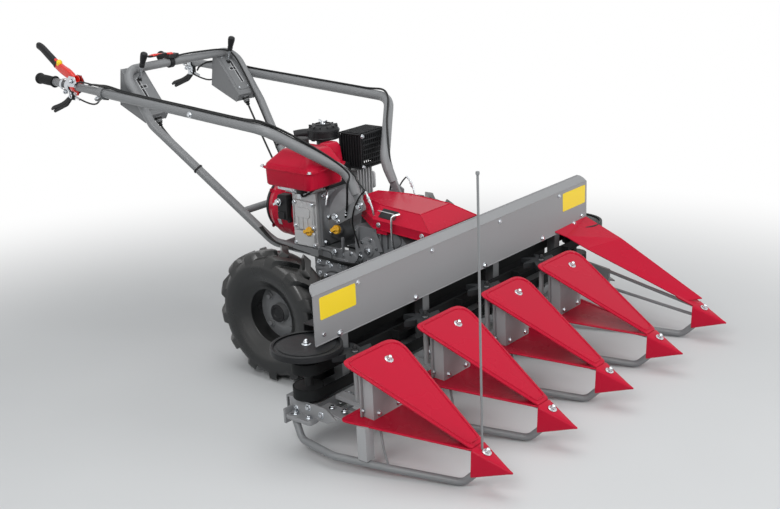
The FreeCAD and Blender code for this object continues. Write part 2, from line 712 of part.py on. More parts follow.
def loop_points(side):
    """Engine rail, leg and upper leg of one side of the rear frame, from the gearbox to the cross bar."""
    return [
        across(side, size("case_rear") + 3, size("rail_half"), size("rail_height")),
        across(side, size("loop_foot_reach"), size("loop_foot_half"), size("loop_foot_height")),
        across(side, size("loop_kink_reach"), size("loop_half"), size("loop_kink_height")),
        across(side, size("loop_bar_reach"), size("loop_half"), size("loop_bar_height")),
    ]


def make_rear_frame():
    radius = size("loop_radius")
    points = loop_points(RIGHT) + loop_points(LEFT)[::-1]
    outside = bar_along(points, 55, radius)
    inside = bar_along(points, 55, radius - size("loop_wall"))
    low, high = loop_points(LEFT)[1:3]
    brace = low + (high - low) * 0.26
    tie = Part.makeCylinder(12, 2 * brace.y, Vector(brace.x, -brace.y, brace.z), Vector(0, 1, 0))
    foot_tie = Part.makeCylinder(10, 2 * low.y - 20, Vector(low.x + 30, -low.y + 10, low.z - 7), Vector(0, 1, 0))
    deep = size("block_low") - size("rail_height") - radius + 3
    base = Part.makeBox(110, 236, deep, Vector(size("block_rear") + 2, -118, size("block_low") - deep))
    case = Part.makeBox(60, 300, 100, Vector(size("case_rear"), -150, size("rail_height") - 50))
    frame = outside.fuse([tie, foot_tie, base]).cut([inside, case]).removeSplitter()
    keep(solid("loop", frame), "rear_frame")
    return outside


def make_console(side, loop):
    """Wedge-shaped housing on the inside of a frame leg, cut to fit round the tube, with its lever."""
    corners = [(-780, 881), (-661, 734), (-678, 709), (-801, 760)]
    y = side * size("console_inner")
    face = [Vector(x, y, z) for x, z in corners]
    wedge = Part.Face(Part.makePolygon(face + face[:1])).extrude(Vector(0, side * (size("loop_half") - abs(y)), 0))
    outlet = Part.makeCylinder(11, 20, across(side, -673, 204, 722), Vector(0.42, 0, -0.9))
    console = wedge.fuse(outlet).cut(loop)
    foot = across(side, -749, 204, 838)
    tip = across(side, -716, 200, 924)
    axis = tip - foot
    stick = Part.makeCylinder(5, axis.Length, foot, axis)
    knob = Part.makeCylinder(11, axis.Length * 0.8, foot + axis * 0.2, axis)
    return max(console.Solids, key=lambda part: part.Volume), stick.fuse(knob).cut(wedge)


def make_consoles(loop):
    pairs = [make_console(side, loop) for side in (RIGHT, LEFT)]
    keep(solid("consoles", Part.makeCompound([pair[0] for pair in pairs])), "lever_consoles")
    keep(solid("sticks", Part.makeCompound([pair[1] for pair in pairs])), "shift_levers")


def make_throttle():
    """Clamp on the cross bar with a small lever that points to the right."""
    at = Vector(size("loop_bar_reach"), -57, size("loop_bar_height"))
    band = Part.makeCylinder(size("loop_radius") + 5, 16, at, Vector(0, 1, 0))
    bore = Part.makeCylinder(size("loop_radius"), 16, at, Vector(0, 1, 0))
    housing = Part.makeBox(26, 50, 12, at + Vector(-13, -10, size("loop_radius") + 1))
    lever = Part.makeBox(14, 74, 7, at + Vector(-7, -82, size("loop_radius") + 13))
    keep(solid("throttle", band.fuse([housing, lever]).cut(bore)), "throttle_lever")


def make_cables():
    """Sleeved cables: lever console to gearbox along each frame leg, and clutch lever to bracket along each handlebar."""
    radius = size("cable_radius")
    under = size("rail_height") - 5
    beside = size("foot_half") + 5 + size("strap_wall") + radius
    cables = []
    for side in (RIGHT, LEFT):
        cables.append(bar_along([
            across(side, -662.5, 204, 699),
            across(side, -646, 204, 664),
            across(side, -318, 84, 345),
            across(side, -262, 46, under),
            across(side, size("case_rear"), 46, under),
        ], None, radius))
        cables.append(bar_along([
            on_handle(side, -1008) + across(side, 0, -0.2855, -31.4764),
            on_handle(side, -88) + across(side, 0, 9.267, -25.0838),
            across(side, 84, 110, 582),
            across(side, 64, beside, 455),
        ], None, radius))
    keep(solid("cables", Part.makeCompound(cables)), "control_cables")


# ---------------------------------------------------------------- header

def make_panel():
    wall = "sheet_wall"
    panel = folded("front_panel", "XZ_Plane", (
        ("panel_face", "panel_low"),
        ("panel_face", "panel_fold"),
        ("panel_face - panel_top + panel_fold", "panel_top"),
        ("panel_face - panel_top + panel_fold - 1.414 * sheet_wall", "panel_top"),
        (f"panel_face - {wall}", f"panel_fold - 0.414 * {wall}"),
        (f"panel_face - {wall}", "panel_low"),
    ), "2 * panel_half")
    for side in (RIGHT, LEFT):
        end = f"{side} * (panel_half + 1)"
        corner = ((end, "panel_top + 1"), (end, "panel_top - 26"), (f"{side} * (panel_half - 4)", "panel_top - 12"),
                  (f"{side} * (panel_half - 12)", "panel_top - 4"), (f"{side} * (panel_half - 26)", "panel_top + 1"))
        pocket(panel, sketch(panel, "YZ_Plane", corner), "2000")
    keep(panel, "front_panel")


def make_header_frame():
    half = "panel_half - 53"
    lower = box(("beam_rear", "beam_front"), ("-beam_half", "beam_half"), ("beam_low", "beam_top"))
    hollow = box(("beam_rear + 4", "beam_front - 4"), ("-beam_half - 1", "beam_half + 1"),
                 ("beam_low + 4", "beam_top - 4"))
    keep(cut(lower, hollow), "lower_beam")
    upper = box(("panel_face - sheet_wall - 43", "panel_face - sheet_wall"), (f"-({half})", half),
                ("rail_low", "rail_top"))
    bore = box(("panel_face - sheet_wall - 40", "panel_face - sheet_wall - 3"), (f"-({half}) - 1", f"{half} + 1"),
               ("rail_low + 3", "rail_top - 3"))
    keep(cut(upper, bore), "upper_beam")
    posts = [
        box(("belt_centre - 15", "belt_centre + 15"), (f"{y} - 15", f"{y} + 15"), ("beam_top", "rail_low"))
        for y in (-540, -180, 180, 540)
    ]
    keep(group(*posts), "header_posts")
    back = folded("back_sheet", "XZ_Plane", (
        ("beam_rear - sheet_wall", "beam_low"),
        ("beam_rear - sheet_wall", "rail_low + 8"),
        ("panel_face - sheet_wall - 43", "rail_low + 8"),
        ("panel_face - sheet_wall - 43", "rail_low + 5"),
        ("beam_rear", "rail_low + 5"),
        ("beam_rear", "beam_low"),
    ), "2 * (panel_half - 80)")
    keep(back, "back_sheet")


def make_conveyor(low, label):
    """Flat belt round two upright pulleys, with upright lugs that stand off it all the way round."""
    low, tall = size(low), size("belt_tall")
    inner = size("pulley_radius")
    outer = inner + size("belt_wall")
    centre, half = size("belt_centre"), size("belt_half")

    def racetrack(radius):
        ends = [Part.makeCylinder(radius, tall, Vector(centre, side * half, low)) for side in (RIGHT, LEFT)]
        return Part.makeBox(2 * radius, 2 * half, tall, Vector(centre - radius, -half, low)).fuse(ends)

    belt = racetrack(outer).cut(racetrack(inner))
    lugs = []
    count = int(2 * half / size("lug_pitch"))
    first = -size("lug_pitch") * (count - 1) / 2
    for index in range(count):
        y = first + index * size("lug_pitch")
        for start, lean in ((centre + outer - 1, 0), (centre - outer + 1 - size("lug_reach"), 0)):
            lugs.append(Part.makeBox(size("lug_reach"), size("lug_wall"), tall - 8, Vector(start, y + lean, low + 4)))
    keep(solid("belt", belt.fuse(lugs).removeSplitter()), label)


def make_pulleys():
    """At each end a shaft on the lower beam, a pulley in each belt, and the round cover above them."""
    shafts, dishes = [], []
    for side in (RIGHT, LEFT):
        at = ("belt_centre", f"{side} * belt_half")
        shaft = rod("z", "beam_top", "dish_top - 9", at, "shaft_radius")
        pulleys = [
            rod("z", low, f"{low} + belt_tall", at, "pulley_radius")
            for low in ("lower_belt", "upper_belt")
        ]
        shafts.append(fuse(shaft, *pulleys))
        rim = cut(rod("z", "dish_low", "dish_top - 6", at, "dish_radius"),
                  rod("z", "dish_low - 1", "dish_top - 9", at, "dish_radius - 3"))
        crown = doc.addObject("Part::Cone", "Crown")
        bind(crown, "Radius1", "dish_radius")
        bind(crown, "Radius2", "dish_radius - 34")
        bind(crown, "Height", "6")
        place(crown, at[0], at[1], "dish_top - 6")
        dishes.append(fuse(rim, crown))
    keep(group(*shafts), "conveyor_pulleys")
    keep(group(*dishes), "pulley_covers")


# ---------------------------------------------------------------- dividers

def per_divider(make, chosen=DIVIDERS[:4]):
    return [make(f"{index} * divider_pitch") for index in chosen]


def make_dividers():
    keep(group(*per_divider(make_frame)), "divider_frames")
    keep(group(*per_divider(lambda y: fuse(make_cover(y), make_spine(y)))), "divider_covers")
    keep(group(*per_divider(make_floor)), "divider_floors")
    keep(group(*per_divider(make_nose, DIVIDERS)), "divider_noses")
    keep(solid("skids", Part.makeCompound([make_skid(index) for index in DIVIDERS])), "skids")


def arm_level(x, level="arm_top"):
    """Height of a divider arm at x, which falls towards the nose."""
    fall = math.tan(math.radians(size("arm_rake")))
    return f"{level} + (nose_rear - ({x})) * {fall:.6f}"


def make_frame(y):
    """Arm from the lower beam to the nose, with the upright and the skid's post welded on it."""
    arm = folded("arm", "XZ_Plane", (
        ("beam_front", arm_level("beam_front", "arm_low")),
        ("beam_front", arm_level("beam_front")),
        ("nose_rear", "arm_top"),
        ("nose_rear", "arm_low"),
    ), "2 * arm_half")
    place(arm, 0, y, 0)
    reach = ("cover_bolt - 25", "cover_bolt + 5")
    tie = box(reach, (f"{y} - 111", y), (arm_level("cover_bolt + 5", "arm_low"), arm_level("cover_bolt + 5")))
    post = box(reach, (f"{y} - 111", f"{y} - 81"), ("42.1", arm_level("cover_bolt + 5")))
    shaft = rod("z", arm_level("star_reach", "arm_top - 2"), "star_low + star_tall + 6", ("star_reach", y), "star_shaft")
    collar = rod("z", "star_low - moving_gap - 10", "star_low - moving_gap", ("star_reach", y), "14")
    return fuse(arm, tie, post, shaft, collar, make_upright(y))


def make_upright(y):
    """Channel that opens to the rear, its top cut to the slope of the cover."""
    slope = "tan(cover_pitch)"
    owner = body("upright")

    def under_cover(x):
        rise = math.tan(math.radians(size("cover_pitch")))
        return f"cover_bolt_height - 3.3 - ({x} - cover_bolt) * {rise:.6f}"

    rear = "(upright_front - upright_depth)"
    base = arm_level("upright_front", "arm_top - 1")
    outline = ((rear, base), ("upright_front", base), ("upright_front", under_cover("upright_front")),
               (rear, under_cover(rear)))
    pad(owner, sketch(owner, "XZ_Plane", outline), "2 * upright_half")
    inner = ((f"{rear} - 1", "-upright_half + 4"), ("upright_front - 4", "-upright_half + 4"),
             ("upright_front - 4", "upright_half - 4"), (f"{rear} - 1", "upright_half - 4"))
    pocket(owner, sketch(owner, "XY_Plane", inner), "1000")
    place(owner, 0, y, 0)
    return owner


def tilted(owner, y, drop):
    """Lays a body on the slope of the cover, drop below its top surface at the rear bolt."""
    owner.Placement = Placement(Vector(), Rotation(Vector(0, 1, 0), 1))
    bind(owner, "Placement.Rotation.Angle", "cover_pitch")
    place(owner, "cover_bolt", y, f"cover_bolt_height - ({drop})")
    return owner


def cover_outline(inset=0):
    return (
        (f"-cover_back + {inset}", f"-cover_right + {inset}"),
        (f"cover_front", f"-cover_nose"),
        (f"cover_front", f"cover_nose"),
        (f"-cover_back + {inset}", f"cover_left - {inset}"),
    )


def round_rear_corners(owner):
    round_edges(owner, "14", lambda a, b: abs(a.z - b.z) > 1 and a.x < 0 and a.y < 0)
    round_edges(owner, "70", lambda a, b: abs(a.z - b.z) > 1 and a.x < 0 and a.y > 0 and abs(a.x - b.x) < 0.1)


def make_cover(y):
    owner = body("cover")
    pad(owner, sketch(owner, "XY_Plane", cover_outline()), "sheet_wall", False)
    round_rear_corners(owner)
    return tilted(owner, y, "sheet_wall")


def make_spine(y):
    """Folded channel under the cover, from the upright to the nose."""
    owner = body("spine")
    outline = (("8", "-50"), ("cover_front - 48", "-23"), ("cover_front - 48", "23"), ("8", "50"))
    pad(owner, sketch(owner, "XY_Plane", outline), "15", False)
    hollow = (("7", "-46"), ("cover_front - 47", "-20"), ("cover_front - 47", "20"), ("7", "46"))
    pocket(owner, sketch(owner, "XY_Plane", hollow), "24")
    return tilted(owner, y, "sheet_wall + 14")


def make_floor(y):
    """Plate under the crop, laid on the arm, with a notch in which the upright stands."""
    owner = body("floor")
    cosine = math.cos(math.radians(size("cover_pitch")))
    front, rear = "nose_rear - cover_bolt", f"-cover_back * {cosine:.6f} - 16"
    outline = ((rear, "-cover_right"), (front, "-cover_nose"), (front, "cover_nose"), (rear, "cover_left"))
    pad(owner, sketch(owner, "XY_Plane", outline), "sheet_wall", False)
    owner.Placement = Placement(Vector(), Rotation(Vector(0, 1, 0), 1))
    bind(owner, "Placement.Rotation.Angle", "arm_rake")
    place(owner, "cover_bolt", y, arm_level("cover_bolt"))
    notch = box(("upright_front - upright_depth", "upright_front"), (f"{y} - upright_half", f"{y} + upright_half"),
                ("arm_top - 20", "arm_top + 60"))
    return cut(owner, notch)


def make_nose(y):
    """Hollow pointed shoe: a rectangle at its rear that narrows to the tip."""
    def form(inset, rear, front):
        item = doc.addObject("Part::Wedge", "Nose")
        item.Placement = Placement(Vector(), Rotation(Vector(0, 0, 1), -90))
        limits = dict(Ymin=rear, Ymax=front, Xmin=f"-nose_half + {inset}", Xmax=f"nose_half - {inset}",
                      Zmin=f"nose_low + {inset}", Zmax=f"nose_top - {inset}", X2min="-2", X2max="2",
                      Z2min="tip_height - 2", Z2max="tip_height + 2")
        for prop, text in limits.items():
            bind(item, prop, text)
        bind(item, "Placement.Base.y", y)
        return item

    return cut(form("0", "nose_rear", "tip_reach"), form("4", "nose_rear + 3", "tip_reach - 24"))


def make_skid(index):
    """Bent tube from under the lower beam, along the floor and up into the nose."""
    radius = size("skid_radius")
    y = index * size("divider_pitch")
    points = [
        Vector(383, y - 102, size("beam_low")),
        Vector(426, y - 120, 49),
        Vector(544, y - 127, 38),
        Vector(699, y - 76, 25),
        Vector(873, y - 8, radius),
        Vector(size("nose_rear") + 12, y, size("nose_low") + 16),
    ]
    nose = Part.makeBox(200, 200, 200, Vector(size("nose_rear"), y - 100, 0))
    floor = Part.makeBox(200, 200, 60, Vector(200, y - 200, size("beam_low")))
    return bar_along(points, 34, radius).cut(nose).cut(floor)


def make_star_wheels():
    """Four rotors, each with six blades, that turn on the divider frames' shafts."""
    reach = size("star_reach")
    low, tall = size("star_low"), size("star_tall")
    for order, index in enumerate(DIVIDERS[:4], start=1):
        y = index * size("divider_pitch")
        hub = Part.makeCylinder(20, tall, Vector(reach, y, low))
        blades = []
        for turn in range(6):
            blade = Part.makeBox(size("star_radius") - 4, 5, tall - 4, Vector(reach + 2, y + 6, low + 2))
            blade.rotate(Vector(reach, y, low), Vector(0, 0, 1), 60 * turn + 10)
            blades.append(blade)
        disc = Part.makeCylinder(size("star_radius") * 0.62, 3, Vector(reach, y, low))
        wheel = hub.fuse(blades + [disc])
        keep_in = Part.makeCylinder(size("star_radius"), tall, Vector(reach, y, low))
        bore = Part.makeCylinder(size("star_shaft") + size("running_gap"), tall, Vector(reach, y, low))
        keep(solid("star", wheel.common(keep_in).cut(bore)), f"star_wheel_{order}")


def make_left_divider():
    """Long deflector sheet and two rods that stand for the fifth divider's cover."""
    y = 2 * size("divider_pitch")
    face = size("panel_face")
    corners = [
        Vector(face, 679, 320), Vector(face, 480, 317), Vector(485, 513, 296), Vector(542, 550, 253),
        Vector(885, 584, 128), Vector(922, 626, 130), Vector(604, 670, 267),
    ]
    thick = Vector(0, 0, size("sheet_wall"))
    hub = corners[2]
    facets = [Part.Face(Part.makePolygon([hub, a, b, hub])) for a, b in (
        (corners[3], corners[6]), (corners[6], corners[0]), (corners[0], corners[1]))]
    facets += [Part.Face(Part.makePolygon([corners[3], a, b, corners[3]])) for a, b in (
        (corners[4], corners[5]), (corners[5], corners[6]))]
    pieces = [facet.extrude(thick) for facet in facets]
    keep(solid("deflector", pieces[0].fuse(pieces[1:])), "left_deflector")
    nose = size("nose_rear")
    top = bar_along([Vector(594, y, 173), Vector(752, y, 142), Vector(nose + 5, y, 110)], 60, 5.5)
    low = bar_along([Vector(594, y, 116), Vector(nose + 5, y, 80)], 60, 5)
    plate = [(446, 146), (446, 155), (497, 155), (511, 192), (600, 179), (600, 108), (552, 108), (552, 146)]
    points = [Vector(x, y - 5, z) for x, z in plate]
    bracket = Part.Face(Part.makePolygon(points + points[:1])).extrude(Vector(0, 10, 0))
    ahead = Part.makeBox(100, 100, 200, Vector(nose, y - 50, 0))
    keep(solid("left_rods", bracket.fuse([top, low]).cut(ahead)), "left_divider_rods")


def make_marker():
    y = -2 * size("divider_pitch")
    foot = Vector(928, y, 100)
    tip = Vector(931, y, size("marker_tall"))
    nose = next(item for item in PIECES if item.Label == "divider_noses")
    doc.recompute()
    stem = Part.makeCylinder(4, (tip - foot).Length, foot, tip - foot)
    knob = Part.makeSphere(7, tip - Vector(0, 0, 7))
    keep(solid("marker", stem.fuse(knob).cut(nose.Links[0].Shape)), "marker_rod")


# ---------------------------------------------------------------- cutter

def make_cutter():
    bar = box(("beam_front", "cutter_front"), ("-beam_half + 10", "beam_half - 10"), ("cutter_low", "cutter_top"))
    fingers = []
    for index in range(-8, 9):
        finger = doc.addObject("Part::Wedge", "Finger")
        finger.Placement = Placement(Vector(), Rotation(Vector(0, 0, 1), -90))
        limits = dict(Ymin="cutter_front - 10", Ymax="guard_reach", Xmin="-11", Xmax="11", Zmin="cutter_low - 8",
                      Zmax="cutter_top - 5", X2min="-2", X2max="2", Z2min="cutter_low - 4", Z2max="cutter_top - 6")
        for prop, text in limits.items():
            bind(finger, prop, text)
        bind(finger, "Placement.Base.y", f"{index} * guard_pitch")
        fingers.append(finger)
    keep(fuse(bar, *fingers), "cutter_bar")
    back = size("beam_front") + 12
    front = size("guard_reach") - 8
    low = size("cutter_top") + size("moving_gap")
    half = size("knife_half")
    blank = Part.makeBox(20, 2 * half, size("knife_wall"), Vector(back, -half, low))
    teeth = []
    count = int(2 * half / size("guard_pitch"))
    for index in range(count):
        y = (index - (count - 1) / 2) * size("guard_pitch")
        corners = [Vector(back + 19, y - 36, low), Vector(front, y - 6, low), Vector(front, y + 6, low),
                   Vector(back + 19, y + 36, low)]
        teeth.append(Part.Face(Part.makePolygon(corners + corners[:1])).extrude(Vector(0, 0, 3)))
    keep(solid("knife", blank.fuse(teeth).removeSplitter()), "knife")


def write_steps():
    """Checks every object, then writes one file for each piece."""
    doc.recompute()
    failed = [item.Name for item in doc.Objects if "Invalid" in item.State or "Error" in item.State]
    if failed:
        raise RuntimeError("failed objects: " + ", ".join(failed))
    os.makedirs("parts", exist_ok=True)
    for item in PIECES:
        if item.Shape.isNull() or not item.Shape.isValid() or not item.Shape.Solids:
            raise RuntimeError("bad shape: " + item.Label)
        item.Shape.exportStep(os.path.join("parts", item.Label + ".step"))
    print(len(PIECES), "pieces")


make_wheel(RIGHT, "right")
make_wheel(LEFT, "left")
make_gearbox()
make_bell()
make_engine()
make_silencer()
make_hood()
make_handlebars()
make_straps()
make_consoles(make_rear_frame())
make_throttle()
make_cables()
make_panel()
make_header_frame()
make_conveyor("lower_belt", "lower_conveyor")
make_conveyor("upper_belt", "upper_conveyor")
make_pulleys()
make_dividers()
make_star_wheels()
make_left_divider()
make_marker()
make_cutter()
write_steps()
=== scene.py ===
"""Finishes and fittings of a walk-behind reaper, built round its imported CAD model."""

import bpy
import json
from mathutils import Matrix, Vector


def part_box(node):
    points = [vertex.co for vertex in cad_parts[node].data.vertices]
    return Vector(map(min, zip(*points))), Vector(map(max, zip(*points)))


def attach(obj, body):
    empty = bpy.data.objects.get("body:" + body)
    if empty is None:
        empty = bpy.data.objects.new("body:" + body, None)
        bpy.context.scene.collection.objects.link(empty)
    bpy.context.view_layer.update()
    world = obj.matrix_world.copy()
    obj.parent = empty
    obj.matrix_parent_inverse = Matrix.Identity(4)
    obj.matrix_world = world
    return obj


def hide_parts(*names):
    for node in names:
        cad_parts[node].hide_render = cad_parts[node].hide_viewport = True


bl_info = {
    "name": "Walk-behind reaper",
    "version": (1, 0, 0),
    "blender": (4, 5, 0),
    "location": "View3D > Sidebar > Reaper",
    "description": "Finishes and fittings of a walk-behind reaper round its CAD model",
    "category": "Object",
}

import json
import math

import bmesh
import bpy
import numpy as np
from bpy.props import FloatProperty, FloatVectorProperty, IntProperty, PointerProperty
from bpy.types import Operator, Panel, PropertyGroup
from mathutils import Matrix, Vector

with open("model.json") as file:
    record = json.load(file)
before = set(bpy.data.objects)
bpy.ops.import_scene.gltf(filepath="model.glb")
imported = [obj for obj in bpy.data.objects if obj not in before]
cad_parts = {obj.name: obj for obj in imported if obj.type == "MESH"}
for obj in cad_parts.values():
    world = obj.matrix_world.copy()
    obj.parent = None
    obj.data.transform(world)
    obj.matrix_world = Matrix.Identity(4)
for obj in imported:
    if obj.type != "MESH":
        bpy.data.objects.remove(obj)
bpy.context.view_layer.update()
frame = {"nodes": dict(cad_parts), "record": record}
NODES = frame["nodes"]
SLOTS = {part["node"]: part["material_slot"] for part in frame["record"]["subparts"]}
RIGHT, LEFT = -1, 1
SIDES = ((RIGHT, "right"), (LEFT, "left"))
FORWARD, BACK, UP, TO_RIGHT, TO_LEFT = (1, 0, 0), (-1, 0, 0), (0, 0, 1), (0, -1, 0), (0, 1, 0)


def middle(node):
    """Centre of a CAD node's box, in millimetres."""
    low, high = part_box(node)
    return np.array((low + high) / 2) * 1000


AXLE = middle("tyre_right")
WHEEL_Y = abs(AXLE[1])
TYRE_RADIUS = AXLE[2]


def linear(code):
    """Linear colour of an sRGB hex code."""
    parts = [int(code[i:i + 2], 16) / 255 for i in (0, 2, 4)]
    return [c / 12.92 if c <= 0.04045 else ((c + 0.055) / 1.055) ** 2.4 for c in parts] + [1.0]


def colour(name, text, code):
    return FloatVectorProperty(name=name, description=text, subtype="COLOR", size=4,
                               min=0, max=1, default=linear(code))


def length(name, text, mm):
    return FloatProperty(name=name, description=text, default=mm / 1000, min=0, unit="LENGTH", precision=4)


class ReaperColours(PropertyGroup):
    """Colours of the finishes."""
    red: colour("Red", "Gloss powder coat of the sheet parts, the tank and the fan housing", "BE1835")
    tube_grey: colour("Tube grey", "Satin powder coat of the tubes and beams", "838587")
    panel_grey: colour("Panel grey", "Satin powder coat of the front panel and the uprights", "929395")
    casting_grey: colour("Casting grey", "Painted gearbox and clutch bell", "7A7C7F")
    wheel_grey: colour("Wheel grey", "Painted wheel discs", "6C6E70")
    rubber: colour("Rubber", "Tyres, belts and grips", "131516")
    black: colour("Black", "Moulded plastic and heat-proof paint", "1E1F21")
    signal_red: colour("Signal red", "Stop and throttle levers", "E42A1C")
    yellow: colour("Yellow", "Oil plugs", "F8BC14")
    floor: colour("Floor", "Studio floor", "D6D8D9")


class ReaperSizes(PropertyGroup):
    """Sizes of the fittings that a user may change."""
    lug_count: IntProperty(name="Lugs", description="Tread lugs on each half of a tyre", default=13, min=6, max=24)
    lug_width: length("Lug width", "Width of a tread lug across its own length", 27)
    lug_slant: FloatProperty(name="Lug slant",
                             description="Turn of a lug from the middle of the tread to its shoulder",
                             default=math.radians(19), unit="ROTATION")
    bead_height: length("Bead height", "Height of the pressed bead on a divider cover", 3.4)
    bead_inset: length("Bead inset", "Pressed bead from the edge of its cover", 12)
    edge: length("Edge rounding", "Rounding that catches the light on sharp CAD edges", 1.1)
    lens: length("Lens", "Focal length of the camera on a 36 mm sensor", 55.385)
    azimuth: FloatProperty(name="Azimuth", description="Camera's turn about the machine",
                           default=math.radians(40.221), unit="ROTATION")
    elevation: FloatProperty(name="Elevation", description="Camera above the horizon", default=math.radians(17.917),
                             unit="ROTATION")
    roll: FloatProperty(name="Roll", description="Camera's turn about its own axis", default=math.radians(-2.547),
                        unit="ROTATION")


# ---------------------------------------------------------------- surfaces
# Every shape is a pair: points in millimetres, from the floor under the axle's middle, and quads between them.

def net(points, ring=False):
    """Quads between neighbours of a grid of points. Each row is closed; a ring joins the last row to the first."""
    rows, cols = points.shape[:2]
    i = np.arange(rows if ring else rows - 1)[:, None]
    j = np.arange(cols)[None, :]
    down, over = (i + 1) % rows, (j + 1) % cols
    corners = (i * cols + j, down * cols + j, down * cols + over, i * cols + over)
    return points.reshape(-1, 3), np.stack([np.broadcast_to(c, (len(i), j.size)) for c in corners], -1).reshape(-1, 4)


def joined(*shapes):
    """Several shapes as one, each with its quads moved on by the points before it."""
    starts = np.cumsum([0] + [len(points) for points, _ in shapes[:-1]])
    return (np.concatenate([points for points, _ in shapes]),
            np.concatenate([quads + start for (_, quads), start in zip(shapes, starts)]))


def mirrored(shape):
    """The same shape on the other side of the machine: y changes its sign and each quad its direction."""
    return shape[0] * (1, -1, 1), shape[1][:, ::-1]


def both(*shapes):
    """Shapes and their mirror images as one."""
    shape = joined(*shapes)
    return joined(shape, mirrored(shape))


def unit(vector):
    vector = np.asarray(vector, float)
    return vector / np.linalg.norm(vector, axis=-1, keepdims=True)


def across_axis(axis):
    """Two directions square to an axis and to each other."""
    axis = unit(axis)
    helper = np.array((0, 0, 1.0)) if abs(axis[2]) < 0.8 else np.array((1.0, 0, 0))
    first = unit(np.cross(helper, axis))
    return first, np.cross(axis, first)


def turned(profile, centre, axis, sides, wave=0.0, waves=0):
    """Profile of (radius, height) carried round an axis: centre + radius (cos t, sin t) + height along the axis.
    Waves make a knurl: so many times a turn each radius is widened and narrowed by the share in wave."""
    profile = np.asarray(profile, float)
    turn = np.arange(sides) * 2 * np.pi / sides
    first, second = across_axis(axis)
    ring = np.cos(turn)[:, None] * first + np.sin(turn)[:, None] * second
    knurl = 1 + wave * np.sign(np.round(np.cos(waves * turn), 6)) if waves else np.ones(sides)
    radius = profile[:, 0, None] * knurl[None, :]
    points = np.asarray(centre, float) + radius[..., None] * ring + profile[:, 1, None, None] * unit(axis)
    return net(points)


def pin(radius, long):
    """Profile of a plain round pin."""
    return [(0, 0), (radius, 0), (radius, long), (0, long)]


def smooth_through(points, per=6):
    """Curve through all points: on each span the cubic whose end slopes are half the step between its neighbours."""
    points = np.asarray(points, float)
    ends = np.vstack([2 * points[0] - points[1], points, 2 * points[-1] - points[-2]])
    t = np.linspace(0, 1, per, endpoint=False)[None, :, None]
    a, b, c, d = ends[:-3, None], ends[1:-2, None], ends[2:-1, None], ends[3:, None]
    curve = 0.5 * (2 * b + (c - a) * t + (2 * a - 5 * b + 4 * c - d) * t**2 + (3 * b - a - 3 * c + d) * t**3)
    return np.vstack([curve.reshape(-1, points.shape[1]), points[-1]])


def eased(points, per):
    """Curve that rounds every corner of a route: from the middle of one run to the next, the corner's parabola."""
    points = np.asarray(points, float)
    middles = (points[:-1] + points[1:]) / 2
    middles[0], middles[-1] = points[0], points[-1]
    t = np.linspace(0, 1, per, endpoint=False)[None, :, None]
    a, b, c = middles[:-1, None], points[1:-1, None], middles[1:, None]
    curve = (1 - t) ** 2 * a + 2 * t * (1 - t) * b + t**2 * c
    return np.vstack([curve.reshape(-1, 3), points[-1]])


def bent(points, radius, per=9, ring=False):
    """Route whose corners are rounded: each corner gives way to the parabola that leaves the run before it and joins
    the run after it at radius * tan(half the turn), or at the given reach of each corner where radius is a list."""
    points = np.asarray(points, float)
    t = np.linspace(0, 1, per)[:, None]
    parts = [] if ring else [points[:1]]
    for index in range(0 if ring else 1, len(points) if ring else len(points) - 1):
        before, corner, after = points[index - 1], points[index], points[(index + 1) % len(points)]
        come, leave = unit(corner - before), unit(after - corner)
        reach = radius[index] if np.ndim(radius) else radius * math.tan(math.acos(min(1.0, float(come @ leave))) / 2)
        a, b = corner - come * reach, corner + leave * reach
        parts.append((1 - t) ** 2 * a + 2 * t * (1 - t) * corner + t**2 * b)
    return np.concatenate(parts if ring else parts + [points[-1:]])


def circle(radius, sides, flat=1.0):
    turn = np.arange(sides) * 2 * np.pi / sides
    return np.stack([radius * np.cos(turn), radius * flat * np.sin(turn)], -1)


def rounded(wide, tall, radius, per=4):
    """Outline of a rectangle with quarter circles at its corners."""
    turn = np.linspace(0, np.pi / 2, per)
    quarter = np.stack([np.cos(turn), np.sin(turn)], -1) * radius
    parts = []
    for step, (sx, sy) in enumerate(((1, 1), (-1, 1), (-1, -1), (1, -1))):
        c, s = round(math.cos(step * math.pi / 2)), round(math.sin(step * math.pi / 2))
        parts.append(quarter @ np.array(((c, s), (-s, c))) + (sx * (wide / 2 - radius), sy * (tall / 2 - radius)))
    return np.concatenate(parts)


def carried(section, path, up=None, scale=None, ring=False):
    """Closed section carried along a path: path + x across + y upwards, both from the tangent and a fixed direction.
    Open paths are closed by drawing the last section in to its middle."""
    path = np.asarray(path, float)
    ahead = np.roll(path, -1, 0) - np.roll(path, 1, 0)
    if not ring:
        ahead[0], ahead[-1] = path[1] - path[0], path[-1] - path[-2]
    ahead = unit(ahead)
    if up is None:
        spread = np.linalg.svd(path - path.mean(0))[2]
        up = spread[2]
    side = unit(np.cross(ahead, np.asarray(up, float)))
    rise = np.cross(side, ahead)
    grow = np.ones(len(path)) if scale is None else np.asarray(scale, float)
    points = (path[:, None] + grow[:, None, None] * (section[None, :, 0, None] * side[:, None]
                                                     + section[None, :, 1, None] * rise[:, None]))
    if ring:
        return net(points, ring=True)
    poles = np.repeat(path[[0, -1], None], len(section), 1)
    return net(np.concatenate([poles[:1], points, poles[1:]]))


def swelling(line, shares, sizes):
    """Scales along a line's points, given at some shares of the line."""
    return np.interp(np.linspace(0, 1, len(line)), shares, sizes)


def rod(route, radius, sides, per=7, round_end=False):
    """Round bar along a route with eased corners."""
    path = eased(route, per) if len(route) > 2 else np.linspace(route[0], route[1], 5)
    scale = np.ones(len(path))
    if round_end:
        scale[[0, -1]] = 0.6
    return carried(circle(radius, sides), path, scale=scale)


